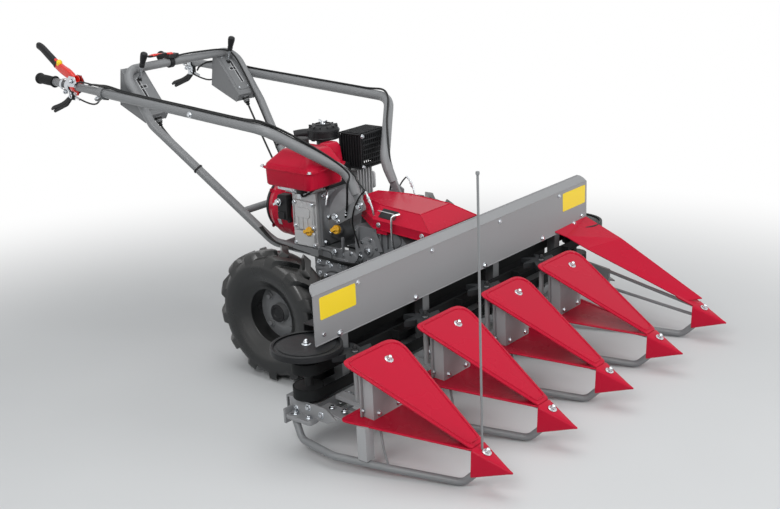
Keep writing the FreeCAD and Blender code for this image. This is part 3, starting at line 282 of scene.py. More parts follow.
def plate(outline, centre, facing, along, thick, edge):
    """Flat plate: an outline in a plane, drawn in by an edge at both faces, closed at its middle."""
    outline = np.asarray(outline, float)
    facing = unit(facing)
    first = unit(np.asarray(along, float) - np.dot(along, facing) * facing)
    second = np.cross(facing, first)
    mid = outline.mean(0)
    reach = np.linalg.norm(outline - mid, axis=1, keepdims=True)
    inner = mid + (outline - mid) * (1 - edge / reach)
    pole = np.repeat(mid[None], len(outline), 0)
    rings = np.stack([pole, inner, outline, outline, inner, pole])
    heights = np.array((0, 0, edge, thick - edge, thick, thick))[:, None, None]
    points = np.asarray(centre, float) + rings[..., :1] * first + rings[..., 1:] * second + heights * facing
    return net(points)


def block(low, high, radius, edge):
    """Block between two corners with rounded upright edges and drawn-in rims."""
    low, high = np.asarray(low, float), np.asarray(high, float)
    size = high - low
    return plate(rounded(size[0], size[1], min(radius, 0.49 * min(size[:2]))),
                 ((low[0] + high[0]) / 2, (low[1] + high[1]) / 2, low[2]), UP, FORWARD, size[2], edge)


def capped(rings):
    """Skin through closed rings, drawn in to the middle of the first and of the last one."""
    rings = np.stack(rings)
    poles = np.repeat(rings[[0, -1]].mean(1)[:, None], rings.shape[1], 1)
    return net(np.concatenate([poles[:1], rings, poles[1:]]))


def lofted(levels, corner, per):
    """Skin through rounded rectangles, one at each level (z, rear, front, right, left, corner scale)."""
    rings = []
    for z, rear, front, right, left, share in levels:
        wide, deep = front - rear, left - right
        outline = rounded(wide, deep, min(corner * share, 0.49 * min(wide, deep)), per)
        outline = outline + ((rear + front) / 2, (right + left) / 2)
        rings.append(np.column_stack([outline, np.full(len(outline), z)]))
    return capped(rings)


def hex_bolt(at, axis, wide, tall, washer=1.45):
    """Six-sided head with a chamfered crown on a round washer; wide is the size across flats."""
    corner = wide / math.sqrt(3)
    head = turned([(0, 1.6), (corner, 1.6), (corner, tall - 0.8), (corner * 0.86, tall + 1.2), (0, tall + 1.2)],
                  at, axis, 6)
    disc = turned([(0, 0), (corner * washer, 0), (corner * washer, 1.3), (corner * washer - 0.5, 1.8), (0, 1.8)],
                  at, axis, 20)
    return joined(head, disc)


def side_bolts(y, places, wide, tall):
    """Bolts on a face that looks to the right, at places of (x, z)."""
    return [hex_bolt((x, y, z), TO_RIGHT, wide, tall) for x, z in places]


def front_bolts(x, places, wide, tall):
    """Bolts on a face that looks forward, at places of (y, z)."""
    return [hex_bolt((x, y, z), FORWARD, wide, tall) for y, z in places]


def ring_bolts(centre, radius, turns, wide, tall):
    """Bolts on a circle round (x, z) on a face that looks to the right, at angles in radians."""
    x, y, z = centre
    return side_bolts(y, [(x + radius * math.cos(t), z + radius * math.sin(t)) for t in turns], wide, tall)


def domed_nut(at, axis, wide):
    """Cap nut: a six-sided foot under a half ball, on a wide washer."""
    corner = wide / math.sqrt(3)
    arc = np.linspace(0, np.pi / 2, 6)
    dome = np.stack([0.46 * wide * np.cos(arc), 7.5 + 0.5 * wide * np.sin(arc)], -1)
    foot = turned([(0, 1.5), (corner, 1.5), (corner, 6.5), (corner * 0.88, 7.6), (0, 7.6)], at, axis, 6)
    cap = turned(np.vstack([[(0, 6.0)], dome]), at, axis, 18)
    disc = turned([(0, 0), (corner * 1.5, 0), (corner * 1.5, 1.4), (corner * 1.38, 2), (0, 2)], at, axis, 22)
    return joined(foot, cap, disc)


# ---------------------------------------------------------------- pieces

MERGE, NO_LENGTH = 2e-5, 1e-6  # metres under which two points are one, and under which an edge has no length


def piece(name, shapes, material, body="chassis", crease=34.0, replaces=(), bevel=0.0):
    """Puts a shape, or a list of shapes, into a mesh of its own, merged and facing outwards, and lets it ride on a
    body."""
    points, quads = joined(*shapes) if isinstance(shapes, list) else shapes
    mesh = bpy.data.meshes.new(name)
    mesh.vertices.add(len(points))
    mesh.vertices.foreach_set("co", ((points + (AXLE[0], 0, 0)) / 1000).astype(np.float32).ravel())
    mesh.loops.add(quads.size)
    mesh.loops.foreach_set("vertex_index", quads.astype(np.int32).ravel())
    mesh.polygons.add(len(quads))
    mesh.polygons.foreach_set("loop_start", np.arange(0, quads.size, 4, dtype=np.int32))
    mesh.update(calc_edges=True)
    work = bmesh.new()
    work.from_mesh(mesh)
    bmesh.ops.remove_doubles(work, verts=work.verts, dist=MERGE)
    bmesh.ops.dissolve_degenerate(work, edges=work.edges, dist=NO_LENGTH)
    bmesh.ops.recalc_face_normals(work, faces=work.faces)
    work.to_mesh(mesh)
    work.free()
    mesh.validate()
    mesh.polygons.foreach_set("use_smooth", np.ones(len(mesh.polygons), bool))
    mesh.set_sharp_from_angle(angle=math.radians(crease))
    item = bpy.data.objects.new(name, mesh)
    bpy.context.scene.collection.objects.link(item)
    mesh.materials.append(bpy.data.materials[material])
    if bevel:
        rounding = item.modifiers.new("Rounding", "BEVEL")
        rounding.width, rounding.segments = bevel / 1000, 2
        rounding.limit_method, rounding.angle_limit = "ANGLE", math.radians(40)
    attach(item, body)
    if replaces:
        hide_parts(*replaces)
    return item


# ---------------------------------------------------------------- finishes

def add(tree, kind, inputs=(), **settings):
    """Adds a shader node with its settings; each input takes a value or the output that is linked to it."""
    node = tree.nodes.new("ShaderNode" + kind)
    for key, value in settings.items():
        setattr(node, key, value)
    for key, value in dict(inputs).items():
        if isinstance(value, bpy.types.NodeSocket):
            tree.links.new(value, node.inputs[key])
        else:
            node.inputs[key].default_value = value
    return node


def mixed(tree, share, first, second):
    """Colour between two by a share. The mix node has them at inputs 0, 6 and 7 and its result at output 2."""
    return add(tree, "Mix", {0: share, 6: first, 7: second}, data_type="RGBA").outputs[2]


def per_metre(mm):
    """Texture scale whose pattern repeats about every so many millimetres."""
    return 1000.0 / mm


def shade(base, share):
    return [min(1.0, c * share) for c in base[:3]] + [1.0]


def finish(name, base, rough, grain, depth, cloud=120.0, vary=0.07, metal=0.0, coat=0.0, coat_rough=0.1, edge_highlight=None,
           edge_highlight_strength=0.0, stretch=(1, 1, 1), dust=0.0, edge=None, gloss=0.5):
    """One surface finish. Colour and roughness drift over a cloud of the given size in mm, grain and depth in mm are
    the relief, edges are rounded for the light and lightened in patches towards the edge highlight colour, a painted
    highlight, dust settles on what faces up, and gloss is the strength of the plain mirror."""
    plain = bpy.data.materials.get(name)
    if plain:
        plain.name = f"{name}_plain"
    material = bpy.data.materials.new(name)
    material.use_nodes = True
    material.diffuse_color = base
    tree = material.node_tree
    tree.nodes.clear()
    sizes = bpy.context.scene.reaper_sizes
    place = add(tree, "TexCoord").outputs["Object"]
    stretched = add(tree, "Mapping", {"Vector": place, "Scale": stretch}).outputs["Vector"]
    drift = add(tree, "TexNoise", {"Vector": place, "Scale": per_metre(cloud), "Detail": 3.0})
    relief = add(tree, "TexNoise", {"Vector": stretched, "Scale": per_metre(grain), "Detail": 2.0})
    colour_out = mixed(tree, drift.outputs["Fac"], shade(base, 1 - vary), shade(base, 1 + vary))
    bevel = add(tree, "Bevel", {"Radius": edge / 1000 if edge else sizes.edge}, samples=4)
    # lighter edges in patches where the bevel turns the normal: a painted highlight along the edges
    if edge_highlight:
        flat = add(tree, "NewGeometry").outputs["Normal"]
        turn = add(tree, "VectorMath", {0: bevel.outputs["Normal"], 1: flat}, operation="DOT_PRODUCT")
        highlight_patches = add(tree, "TexNoise", {"Vector": place, "Scale": per_metre(9), "Detail": 4.0})
        sharp = add(tree, "MapRange", {"Value": turn.outputs["Value"], "From Min": 0.97, "From Max": 0.80,
                                       "To Min": 0.0, "To Max": edge_highlight_strength})
        where = add(tree, "MapRange", {"Value": highlight_patches.outputs["Fac"], "From Min": 0.42, "From Max": 0.62})
        share = add(tree, "Math", {0: sharp.outputs["Result"], 1: where.outputs["Result"]}, operation="MULTIPLY")
        colour_out = mixed(tree, share.outputs["Value"], colour_out, edge_highlight)
    if dust:
        up = add(tree, "SeparateXYZ", {0: add(tree, "NewGeometry").outputs["Normal"]})
        specks = add(tree, "TexNoise", {"Vector": place, "Scale": per_metre(35), "Detail": 6.0})
        lies = add(tree, "MapRange", {"Value": up.outputs["Z"], "From Min": -0.2, "From Max": 1.0, "To Max": dust})
        amount = add(tree, "Math", {0: lies.outputs["Result"], 1: specks.outputs["Fac"]}, operation="MULTIPLY")
        colour_out = mixed(tree, amount.outputs["Value"], colour_out, linear("A59C90"))
    sheen = add(tree, "MapRange", {"Value": drift.outputs["Fac"], "From Min": 0.3, "From Max": 0.7,
                                   "To Min": max(rough - 0.06, 0.02), "To Max": min(rough + 0.06, 1.0)})
    bump = add(tree, "Bump", {"Height": relief.outputs["Fac"], "Distance": depth / 1000, "Strength": 1.0,
                              "Normal": bevel.outputs["Normal"]})
    shader = add(tree, "BsdfPrincipled", {"Base Color": colour_out, "Roughness": sheen.outputs["Result"],
                                          "Metallic": metal, "Coat Weight": coat, "Coat Roughness": coat_rough,
                                          "Specular IOR Level": gloss, "Normal": bump.outputs["Normal"]})
    add(tree, "OutputMaterial", {"Surface": shader.outputs["BSDF"]})
    return material


def make_finishes(colours):
    """Materials by the names of the record's slots, and those of the small fittings."""
    # the lighter colour given for the edges of each finish below is a painted highlight on its edges
    # gloss powder coat on pressed steel: deep colour, soft orange peel (4 mm so that it shows), clear mirror on top
    finish("red_paint", colours.red, 0.25, 4.0, 0.02, vary=0.025, edge_highlight=linear("DC4058"), edge_highlight_strength=0.5, gloss=0.12)
    # satin powder coat on drawn steel tube: even, faintly pebbled, its edges lighter by a painted highlight
    finish("grey_paint", colours.tube_grey, 0.42, 3.0, 0.04, vary=0.06, edge_highlight=linear("A9ABAD"), edge_highlight_strength=0.6, gloss=0.4)
    # satin powder coat on flat sheet: a little lighter, long soft reflections
    finish("light_grey_paint", colours.panel_grey, 0.4, 5.0, 0.03, cloud=260, vary=0.04,
           edge_highlight=linear("B9BABC"), edge_highlight_strength=0.6, gloss=0.4)
    # the same coat on the dividers' folded uprights, a shade paler
    finish("pale_paint", linear("A9AAAC"), 0.4, 5.0, 0.03, cloud=90, vary=0.06, edge_highlight=linear("D0D1D2"),
           edge_highlight_strength=0.6, gloss=0.4)
    # painted pressed wheel: darker satin grey with road dust
    finish("wheel_paint", colours.wheel_grey, 0.5, 3.0, 0.05, edge_highlight=linear("8C8E90"), edge_highlight_strength=0.5, dust=0.15)
    # painted sand casting: pebbled skin of 2 mm grains, dull, corners broken and lightened by a painted highlight
    for name in ("gearbox_casting", "bell_casting"):
        finish(name, colours.casting_grey, 0.55, 2.4, 0.22, cloud=60, vary=0.1, edge_highlight=linear("9B9D9F"),
               edge_highlight_strength=0.7, edge=2.2)
    # bare die-cast aluminium: pale, soft metal gloss, fine pebble
    finish("crankcase_casting", linear("CBCCCD"), 0.42, 1.8, 0.12, cloud=45, vary=0.09,
           metal=0.35, edge_highlight=linear("E4E5E6"), edge_highlight_strength=0.6, edge=1.8)
    # moulded nylon and ABS: near black, etched grain of about 1.5 mm drawn coarse enough to show, semi-matt
    for name, tone in (("black_plastic", colours.black), ("starter_plastic", linear("2B2C2E")),
                       ("star_plastic", linear("2A2C2E"))):
        finish(name, tone, 0.46, 1.5, 0.08, cloud=50, vary=0.12, edge_highlight=linear("55575A"), edge_highlight_strength=0.5, gloss=0.25)
    # moulded ABS housing in the tube's grey
    finish("console_plastic", linear("77797B"), 0.48, 1.6, 0.07, cloud=70, vary=0.05, edge_highlight=linear("9B9D9F"), edge_highlight_strength=0.4)
    # heat-proof matt black paint on pressed steel, greyed by heat, its edges lightened by a painted highlight
    finish("black_paint", colours.black, 0.5, 2.2, 0.08, cloud=40, vary=0.2, edge_highlight=linear("5B5C5E"),
           edge_highlight_strength=0.7, gloss=0.25)
    # soft vinyl grip: matt, fine leather-like grain
    finish("grip_rubber", colours.rubber, 0.62, 1.4, 0.1, cloud=30, vary=0.15, gloss=0.25)
    # gloss moulded plastic of the safety levers
    finish("red_plastic", colours.signal_red, 0.3, 3.0, 0.02, vary=0.04, coat=0.3, coat_rough=0.15)
    finish("yellow_plastic", colours.yellow, 0.34, 3.0, 0.02, vary=0.05, coat=0.2, coat_rough=0.2)
    # extruded PVC sheath: black, slightly glossy, faint die lines
    finish("cable_sheath", colours.rubber, 0.35, 1.2, 0.03, vary=0.1, gloss=0.25)
    # calendered rubber belt with a cloth print
    finish("belt_rubber", colours.rubber, 0.68, 2.0, 0.15, vary=0.2, edge_highlight=linear("3C3C3C"), edge_highlight_strength=0.6, gloss=0.2)
    # grey iron casting, painted thinly
    finish("pulley_casting", linear("2A2B2C"), 0.55, 2.5, 0.2, vary=0.15, edge_highlight=linear("5A5B5C"), edge_highlight_strength=0.7, gloss=0.3)
    # ground knife steel: bright, brushed along its length
    finish("bare_steel", linear("B4B5B3"), 0.3, 1.5, 0.03, metal=1.0, vary=0.08, stretch=(1, 0.08, 1))
    # bright zinc plate on bolts and clamps: bluish white metal, slightly cloudy
    finish("zinc_plate", linear("C9CDD1"), 0.26, 2.0, 0.02, cloud=12, metal=1.0, vary=0.08, edge=0.5)
    # chromed bar
    finish("chrome", linear("D8DADC"), 0.12, 6.0, 0.01, metal=1.0, vary=0.03, edge=0.5)
    # blank self-adhesive vinyl plates, and the lock button that is nearly their yellow; satin
    finish("yellow_vinyl", linear("FADB1C"), 0.38, 3.0, 0.01, vary=0.03, edge=0.3)
    # blank anodised aluminium plate, brushed lengthwise
    finish("blank_plate", linear("BEC0C2"), 0.36, 1.2, 0.03, metal=0.6, vary=0.05, stretch=(0.1, 1, 1), edge=0.4)
    # tyre rubber: carbon black, satin, 3 mm mould grain, a little dust where it faces up
    finish("tyre_rubber", colours.rubber, 0.31, 3.0, 0.02, cloud=80, vary=0.1, edge_highlight=linear("3A3B3C"),
           edge_highlight_strength=0.4, dust=0.05, edge=2.0, gloss=0.6)


# nodes whose finish differs from their slot in the record
FINISHES = {"handlebar_brackets": "grey_paint", "back_sheet": "black_paint", "divider_frames": "pale_paint"}


class REAPER_OT_finishes(Operator):
    """Make the finishes and lay them on the CAD nodes"""
    bl_idname = "reaper.finishes"
    bl_label = "Finishes"

    def execute(self, context):
        make_finishes(context.scene.reaper_colours)
        for node, item in NODES.items():
            item.data.materials.clear()
            item.data.materials.append(bpy.data.materials[FINISHES.get(node, SLOTS[node])])
        return {"FINISHED"}


# ---------------------------------------------------------------- wheels

ROWS_PER_LUG = 36


def tyre_surface(sizes, side):
    """Tyre as a grid of turn and section. The carcass and the lug tops are two sections of (across, radius); a point
    lies between them by a mask that is 1 on a lug. The rows of the grid turn back with the distance from the middle,
    by the lug slant at the shoulder, so that they run along the lugs. The halves are set off by half a pitch."""
    wall = [(61.0, 152), (59.5, 137), (53.5, 121), (45, 107), (37, 95), (33, 87)]
    carcass = [(0, 188), (16, 188), (32, 187.5), (44, 186), (51.5, 183), (57, 176.5), (60.4, 166), *wall]
    tops = [(0, 204.9), (16, 204.9), (32, 204.6), (44, 203.6), (51, 201), (56.5, 193), (60.4, 176), *wall]
    full = lambda half: (np.concatenate([-half[:0:-1, 0], half[:, 0]]), np.concatenate([half[:0:-1, 1], half[:, 1]]))
    across, low_radius = full(smooth_through(carcass, 4))
    high_across, high_radius = full(smooth_through(tops, 4))
    rows = sizes.lug_count * ROWS_PER_LUG
    turn = np.arange(rows) * 2 * np.pi / rows
    pitch = 2 * np.pi / sizes.lug_count
    reach = np.abs(across) / wall[0][0]
    step = lambda x: np.clip(x, 0, 1) ** 2 * (3 - 2 * np.clip(x, 0, 1))
    mask = np.zeros((len(turn), len(across)))
    for half in (-1, 1):
        start = 0.0 if half < 0 else pitch / 2
        off = turn[:, None] - start
        away = np.abs((off + pitch / 2) % pitch - pitch / 2) * TYRE_RADIUS * 0.8
        wide = sizes.lug_width * 500 * (1 + 0.25 * reach)
        on = step((wide - away) / 3.0) * step((half * across + 7) / 5.0)
        mask = np.maximum(mask, on * step((high_radius - 181) / 8.0))
    rib = 0.7 * np.exp(-((low_radius - 118) / 2.2) ** 2)
    side_y = across + (high_across - across) * mask + np.sign(across) * rib
    radius = low_radius + (high_radius - low_radius) * mask
    inner = np.array([(31.0, 86.0), (-31.0, 86.0)])
    side_y = np.concatenate([side_y, np.broadcast_to(inner[:, 0], (len(turn), 2))], 1)
    radius = np.concatenate([radius, np.broadcast_to(inner[:, 1], (len(turn), 2))], 1)
    lean = np.concatenate([reach, np.zeros(2)]) * sizes.lug_slant
    angle = turn[:, None] - lean[None, :]
    points = np.stack([radius * np.sin(angle), side * WHEEL_Y + side_y, TYRE_RADIUS + radius * np.cos(angle)], -1)
    return net(points, ring=True)


class REAPER_OT_tyres(Operator):
    """Make the two tyres with slanted tread lugs"""
    bl_idname = "reaper.tyres"
    bl_label = "Tyres"

    def execute(self, context):
        for side, word in SIDES:
            piece(f"tread_{word}", tyre_surface(context.scene.reaper_sizes, side),
                  "tyre_rubber", body=f"{word}_wheel", crease=30, replaces=[f"tyre_{word}"])
        return {"FINISHED"}


class REAPER_OT_wheels(Operator):
    """Make the rims' rolled edges and pressed discs, the wheel bolts, the hub caps and the valves"""
    bl_idname = "reaper.wheels"
    bl_label = "Wheel fittings"

    def execute(self, context):
        turn = np.arange(96) * 2 * np.pi / 96
        for side, word in SIDES:
            body = f"{word}_wheel"
            centre = np.array((0, side * WHEEL_Y, TYRE_RADIUS))
            out = (0, side, 0)
            place = lambda r, angle, y: np.stack([r * np.cos(angle), np.full_like(angle, side * y),
                                                  r * np.sin(angle)], -1)
            lips = [carried(circle(2.2, 10), centre + place(98.6, turn, y), TO_LEFT, ring=True)
                    for y in (33.5, -33.5)]
            dish = turned([(30, 0), (46, 0), (50, 2), (54, 2.4), (72, 2.4), (78, 0), (92, 0), (92, -1), (30, -1)],
                          centre + (0, side * -15, 0), out, 72)
            piece(f"rim_{word}", [*lips, dish], "wheel_paint", body=body)
            corners = np.radians((45.0, 135.0, 225.0, 315.0))
            bolts = [hex_bolt(centre + at, out, 15, 8) for at in place(62, corners, -11)]
            piece(f"wheel_bolts_{word}", bolts, "wheel_paint", body=body)
            end = centre + (0, side * 4, 0)
            socket = turned([(0, 0), (19.2, 0), (19.2, 2.5), (17, 2.5), (15, 0.6), (0, 0.6)], end, out, 32)
            boss = turned([(19, 0), (27.5, 0), (28.5, 1.5), (27, 3.5), (20, 3.5), (19, 0)], end, out, 40)
            piece(f"hub_cap_{word}", [socket, boss], "black_plastic", body=body)
            valve = [(0, -4), (5, -4), (5, 12), (3.2, 14), (3.2, 24), (4.2, 24), (4.2, 31), (3, 32.5), (0, 32.5)]
            piece(f"valve_{word}", turned(valve, centre + (58, side * -16, 58), (0.25, side, 0.25), 14),
                  "cable_sheath", body=body)
        return {"FINISHED"}


# ---------------------------------------------------------------- engine

CRANK = 427.0  # height of the crankshaft


def radial(centre, axis, radius, angles):
    """Places on a circle round an axis, one for each angle in degrees."""
    first, second = across_axis(axis)
    return [np.asarray(centre, float) + radius * (math.cos(a) * first + math.sin(a) * second)
            for a in np.radians(angles)]


class REAPER_OT_fuel_tank(Operator):
    """Make the pressed fuel tank with its seam, the ribbed cap and the tank's brackets"""
    bl_idname = "reaper.fuel_tank"
    bl_label = "Fuel tank"

    def execute(self, context):
        tank = lofted([(549, -172, 4, -191, -54, 0.6), (551, -178, 10, -198, -49, 0.8),
                       (556, -183, 15, -202, -45, 1), (604, -184, 16, -203, -44, 1), (605, -189, 21, -208, -39, 1.1),
                       (609, -189, 21, -208, -39, 1.1), (610.5, -184, 16, -203, -44, 1),
                       (619, -182, 14, -201, -45, 0.95), (624, -178, 10, -196, -46, 0.9),
                       (652, -152, -24, -166, -47, 0.7), (657, -148, -28, -161, -49, 0.7),
                       (660.5, -143, -33, -155, -53, 0.7), (662, -136, -40, -147, -62, 0.6)], 20, 6)
        piece("pressed_tank", tank, "red_paint", crease=40, replaces=["fuel_tank"])
        neck = (-127, -82, 662)
        cap = turned([(0, 0), (19, 0), (19, 3), (24, 4), (24, 18), (22, 21), (18, 22), (0, 22)],
                     neck, UP, 96, 0.03, 16)
        rim = turned([(0, -4), (27, -4), (27, 0.5), (25, 2), (0, 2)], neck, UP, 40)
        piece("ribbed_cap", [cap, rim], "black_plastic", crease=30, replaces=["fuel_cap"])
        ears = [block((x - 12, y - 9, 606), (x + 12, y + 9, 610), 6, 0.8)
                for x, y in ((-178, -196), (8, -196), (8, -50))]
        piece("tank_ears", ears, "red_paint")
        bolts = [hex_bolt((x, -203, 610), UP, 9, 5) for x in (-186, 16)]
        bolts += side_bolts(-119, ((-143, 518), (-85, 518)), 9, 5)
        bracket = [block((-150, -112, 513), (-70, -60, 549), 4, 1), block((-196, -118, 536), (-150, -100, 549), 3, 1),
                   block((-150, -119, 505), (-136, -108, 549), 3, 1), block((-92, -119, 505), (-78, -108, 549), 3, 1)]
        piece("tank_brackets", bracket, "crankcase_casting")
        piece("tank_bolts", bolts, "zinc_plate")
        cock = block((-60, -190, 534), (-36, -160, 549), 4, 1)
        hose = rod([(-48, -176, 536), (-48, -176, 524), (-60, -150, 516), (-66, -80, 530), (-70, -36, 545)],
                   3.6, 10, 8)
        piece("fuel_hose", [cock, hose], "cable_sheath")
        return {"FINISHED"}


class REAPER_OT_engine_side(Operator):
    """Make the crankcase cover, the oil plugs, the flange bolts, the switch box and the small linkages"""
    bl_idname = "reaper.engine_side"
    bl_label = "Engine fittings"

    def execute(self, context):
        face = TO_RIGHT
        corners = ((-146, 478), (-70, 478), (-146, 400), (-70, 400), (-148, 343), (-66, 343))
        cover = [plate(rounded(84, 96, 12, 5), (-108, -104, 437), face, FORWARD, 7, 2),
                 plate(rounded(88, 50, 10, 5), (-108, -104, 361), face, FORWARD, 11, 2.5),
                 plate(rounded(60, 34, 8, 5), (-112, -110, 446), face, FORWARD, 4, 1.5)]
        ribs = [block((-156 + 20 * i, -113, 392), (-152 + 20 * i, -104, 480), 1.5, 0.8) for i in range(5)]
        bosses = [turned([(0, 0), (8, 0), (8, 9), (7, 10), (0, 10)], (x, -104, z), face, 18) for x, z in corners]
        piece("crankcase_cover", [*cover, *ribs, *bosses], "crankcase_casting")
        bolts = side_bolts(-113.5, corners, 8, 4.5)
        bolts += front_bolts(-45, [(y, z) for y in (-82, 82) for z in (CRANK - 76, CRANK + 76)], 12, 6)
        bolts += [hex_bolt(at, (0.94, -0.34, 0), 10, 5) for at in ((-20, -88, CRANK + 12), (-20, -82, CRANK - 40))]
        piece("engine_bolts", bolts, "zinc_plate")
        waist = [(-15, -4), (-13, -6.5), (0, -4), (13, -6.5), (15, -4), (15, 4),
                 (13, 6.5), (0, 4), (-13, 6.5), (-15, 4)]
        wing = lambda at, lean: joined(
            turned([(0, 0), (15, 0), (15, 5), (13, 8), (0, 8)], at, lean, 28, 0.05, 14),
            plate(waist, np.asarray(at, float) + 7 * unit(lean), lean, (1, 0, 0.35), 11, 1.5))
        rear, front = (0.1, -1, 0.35), (0.3, -1, 0.3)
        necks = [turned([(0, 0), (17, 0), (16, 8), (0, 8)], (-87, -104, 384), rear, 24),
                 turned([(0, -14), (17, -14), (16, 2), (0, 2)], (7, -84, 401), front, 24)]
        piece("plug_necks", necks, "bell_casting")
        piece("oil_plugs", [wing((-86.5, -111, 387), rear), wing((7.5, -85.5, 401.5), front)], "yellow_plastic")
        # switch box and its turning knob on the fan housing
        box = [plate(rounded(44, 84, 9, 5), (-192, -92, 454), face, FORWARD, 31, 2.5),
               plate(rounded(30, 26, 6, 5), (-196, -122, 428), face, FORWARD, 5, 1.5),
               block((-180, -118, 404), (-168, -98, 420), 4, 1.5)]
        piece("switch_box", box, "black_plastic")
        lean = (-0.2, -1, 0.1)
        knob = [turned([(0, 0), (13, 0), (13, 4), (10, 6), (10, 12), (8, 14), (0, 14)],
                       (-205, -121, 470), lean, 28, 0.05, 7),
                plate([(-17, -4), (17, -3), (17, 3), (-17, 4)], (-205, -133, 470), lean, (1, 0, 0.5), 6, 1.4)]
        piece("switch_knob", knob, "zinc_plate")
        badge = plate(rounded(16, 20, 2.5, 4), (-232, -96.5, 395), (0, -1, -0.33), FORWARD, 2.2, 0.6)
        piece("starter_badge_blank", badge, "blank_plate")
        # governor arm, spring rod and throttle plate between the tank and the crankcase
        shape = [(-56, -11), (46, -15), (54, 4), (40, 13), (-20, 12), (-56, 11)]
        links = [rod([(-60, -118, 520), (-100, -121, 528), (-140, -121, 524), (-176, -112, 520)], 2.2, 8),
                 rod([(-96, -112, 500), (-98, -122, 515), (-112, -124, 540)], 2.6, 8),
                 plate([(-8, -24), (8, -24), (6, 20), (-6, 26)], (-120, -116, 516), face, (1, 0, 0.2), 3, 0.8),
                 rod([(-58, -60, 520), (-30, -78, 524), (-20, -92, 508), (-22, -96, 480)], 3.2, 8),
                 plate(shape, (-150, -121, 527), face, FORWARD, 3, 0.8),
                 *side_bolts(-124, ((-196, 528), (-128, 524), (-106, 530)), 9, 5)]
        coil = np.linspace(0, 1, 130)
        spring = np.stack([-170 + 46 * coil, -122 + 3 * np.cos(90 * coil), 514 + 3 * np.sin(90 * coil)], -1)
        links.append(carried(circle(0.8, 6), spring, (0, 1, 0.02)))
        piece("governor_links", links, "zinc_plate")
        # cylinder head cover, spark plug and its cap on the far side
        head = plate(rounded(60, 58, 10, 5), (-108, 204, 487), TO_LEFT, FORWARD, 14, 4)
        piece("valve_cover", head, "crankcase_casting")
        bolts = [hex_bolt((x, 214, z), TO_LEFT, 8, 4) for x in (-130, -86) for z in (467, 507)]
        piece("valve_cover_bolts", bolts, "zinc_plate")
        cap = rod([(-150, 176, 500), (-172, 176, 506), (-186, 168, 512)], 8.5, 14, 8, round_end=True)
        lead = rod([(-184, 168, 511), (-204, 150, 520), (-205, 110, 528), (-190, 70, 520)], 3.4, 10, 10)
        piece("plug_lead", [cap, lead], "cable_sheath")
        return {"FINISHED"}


class REAPER_OT_starter(Operator):
    """Make the recoil starter's slotted cover, its handle and the fan housing's bolts"""
    bl_idname = "reaper.starter"
    bl_label = "Recoil starter"

    def execute(self, context):
        axis = BACK
        strip = rounded(5, 6, 1.2, 2)
        bars = []
        for angle in np.radians(range(0, 360, 12)):
            out = np.array((0, math.cos(angle), math.sin(angle)))
            line = lambda *places: [np.array((x, 0, CRANK)) + out * reach for x, reach in places]
            bars.append(carried(strip, line((-319.5, 24), (-319.5, 42), (-319.5, 60)),
                                np.cross(out, axis), scale=[0.8, 1, 1]))
            bars.append(carried(strip, line((-320, 60), (-312, 74), (-301, 85)), np.cross(out, axis)))
        hub = turned([(0, 0), (26, 0), (26, 3), (22, 7), (10, 8), (0, 8)], (-319, 0, CRANK), axis, 40)
        hoop = turned([(83, 0), (89, 0), (90, 3), (88, 9), (83, 9)], (-293, 0, CRANK), axis, 72)
        ring = turned([(58, 0), (63, 0), (63, 4), (58, 4)], (-320, 0, CRANK), axis, 60)
        guide = rod([(-300, 60, CRANK + 52), (-300, 84, CRANK + 66), (-300, 98, CRANK + 70)], 9, 14, 8)
        piece("starter_grille", [hub, hoop, ring, guide, *bars], "starter_plastic")
        line = smooth_through([(-330, 106, CRANK + 73), (-315, 104, CRANK + 72), (-300, 103, CRANK + 71.5),
                               (-285, 104, CRANK + 72), (-270, 106, CRANK + 73)], 4)
        grip = carried(rounded(13, 17, 6, 4), line, UP,
                       swelling(line, [0, 0.08, 0.5, 0.92, 1], [0.6, 1, 0.82, 1, 0.6]))
        piece("starter_handle", grip, "black_plastic")
        bolts = [hex_bolt(at, axis, 9, 5) for at in radial((-290, 0, CRANK), axis, 93, (40, 140, 220, 320))]
        piece("starter_bolts", [*bolts, hex_bolt((-327, 0, CRANK), axis, 10, 5)], "zinc_plate")
        # rolled edge, step and lugs of the fan housing
        belt = [turned([(101, 0), (104.5, 0), (104.5, 8), (101, 8)], (-165, 0, CRANK), axis, 72),
                turned([(101, 0), (103, 0), (103, 5), (101, 5)], (-232, 0, CRANK), axis, 72)]
        around = np.array((-170.0, 0, CRANK))
        lugs = [plate([(-9, -4), (-6, -10), (6, -10), (9, -4), (9, 8), (-9, 8)],
                      at, axis, np.cross(axis, unit(at - around)), 6, 1)
                for at in radial(around, axis, 106, (35, 90, 145, 215, 325))]
        piece("fan_housing_trim", [*belt, *lugs], "red_paint")
        return {"FINISHED"}


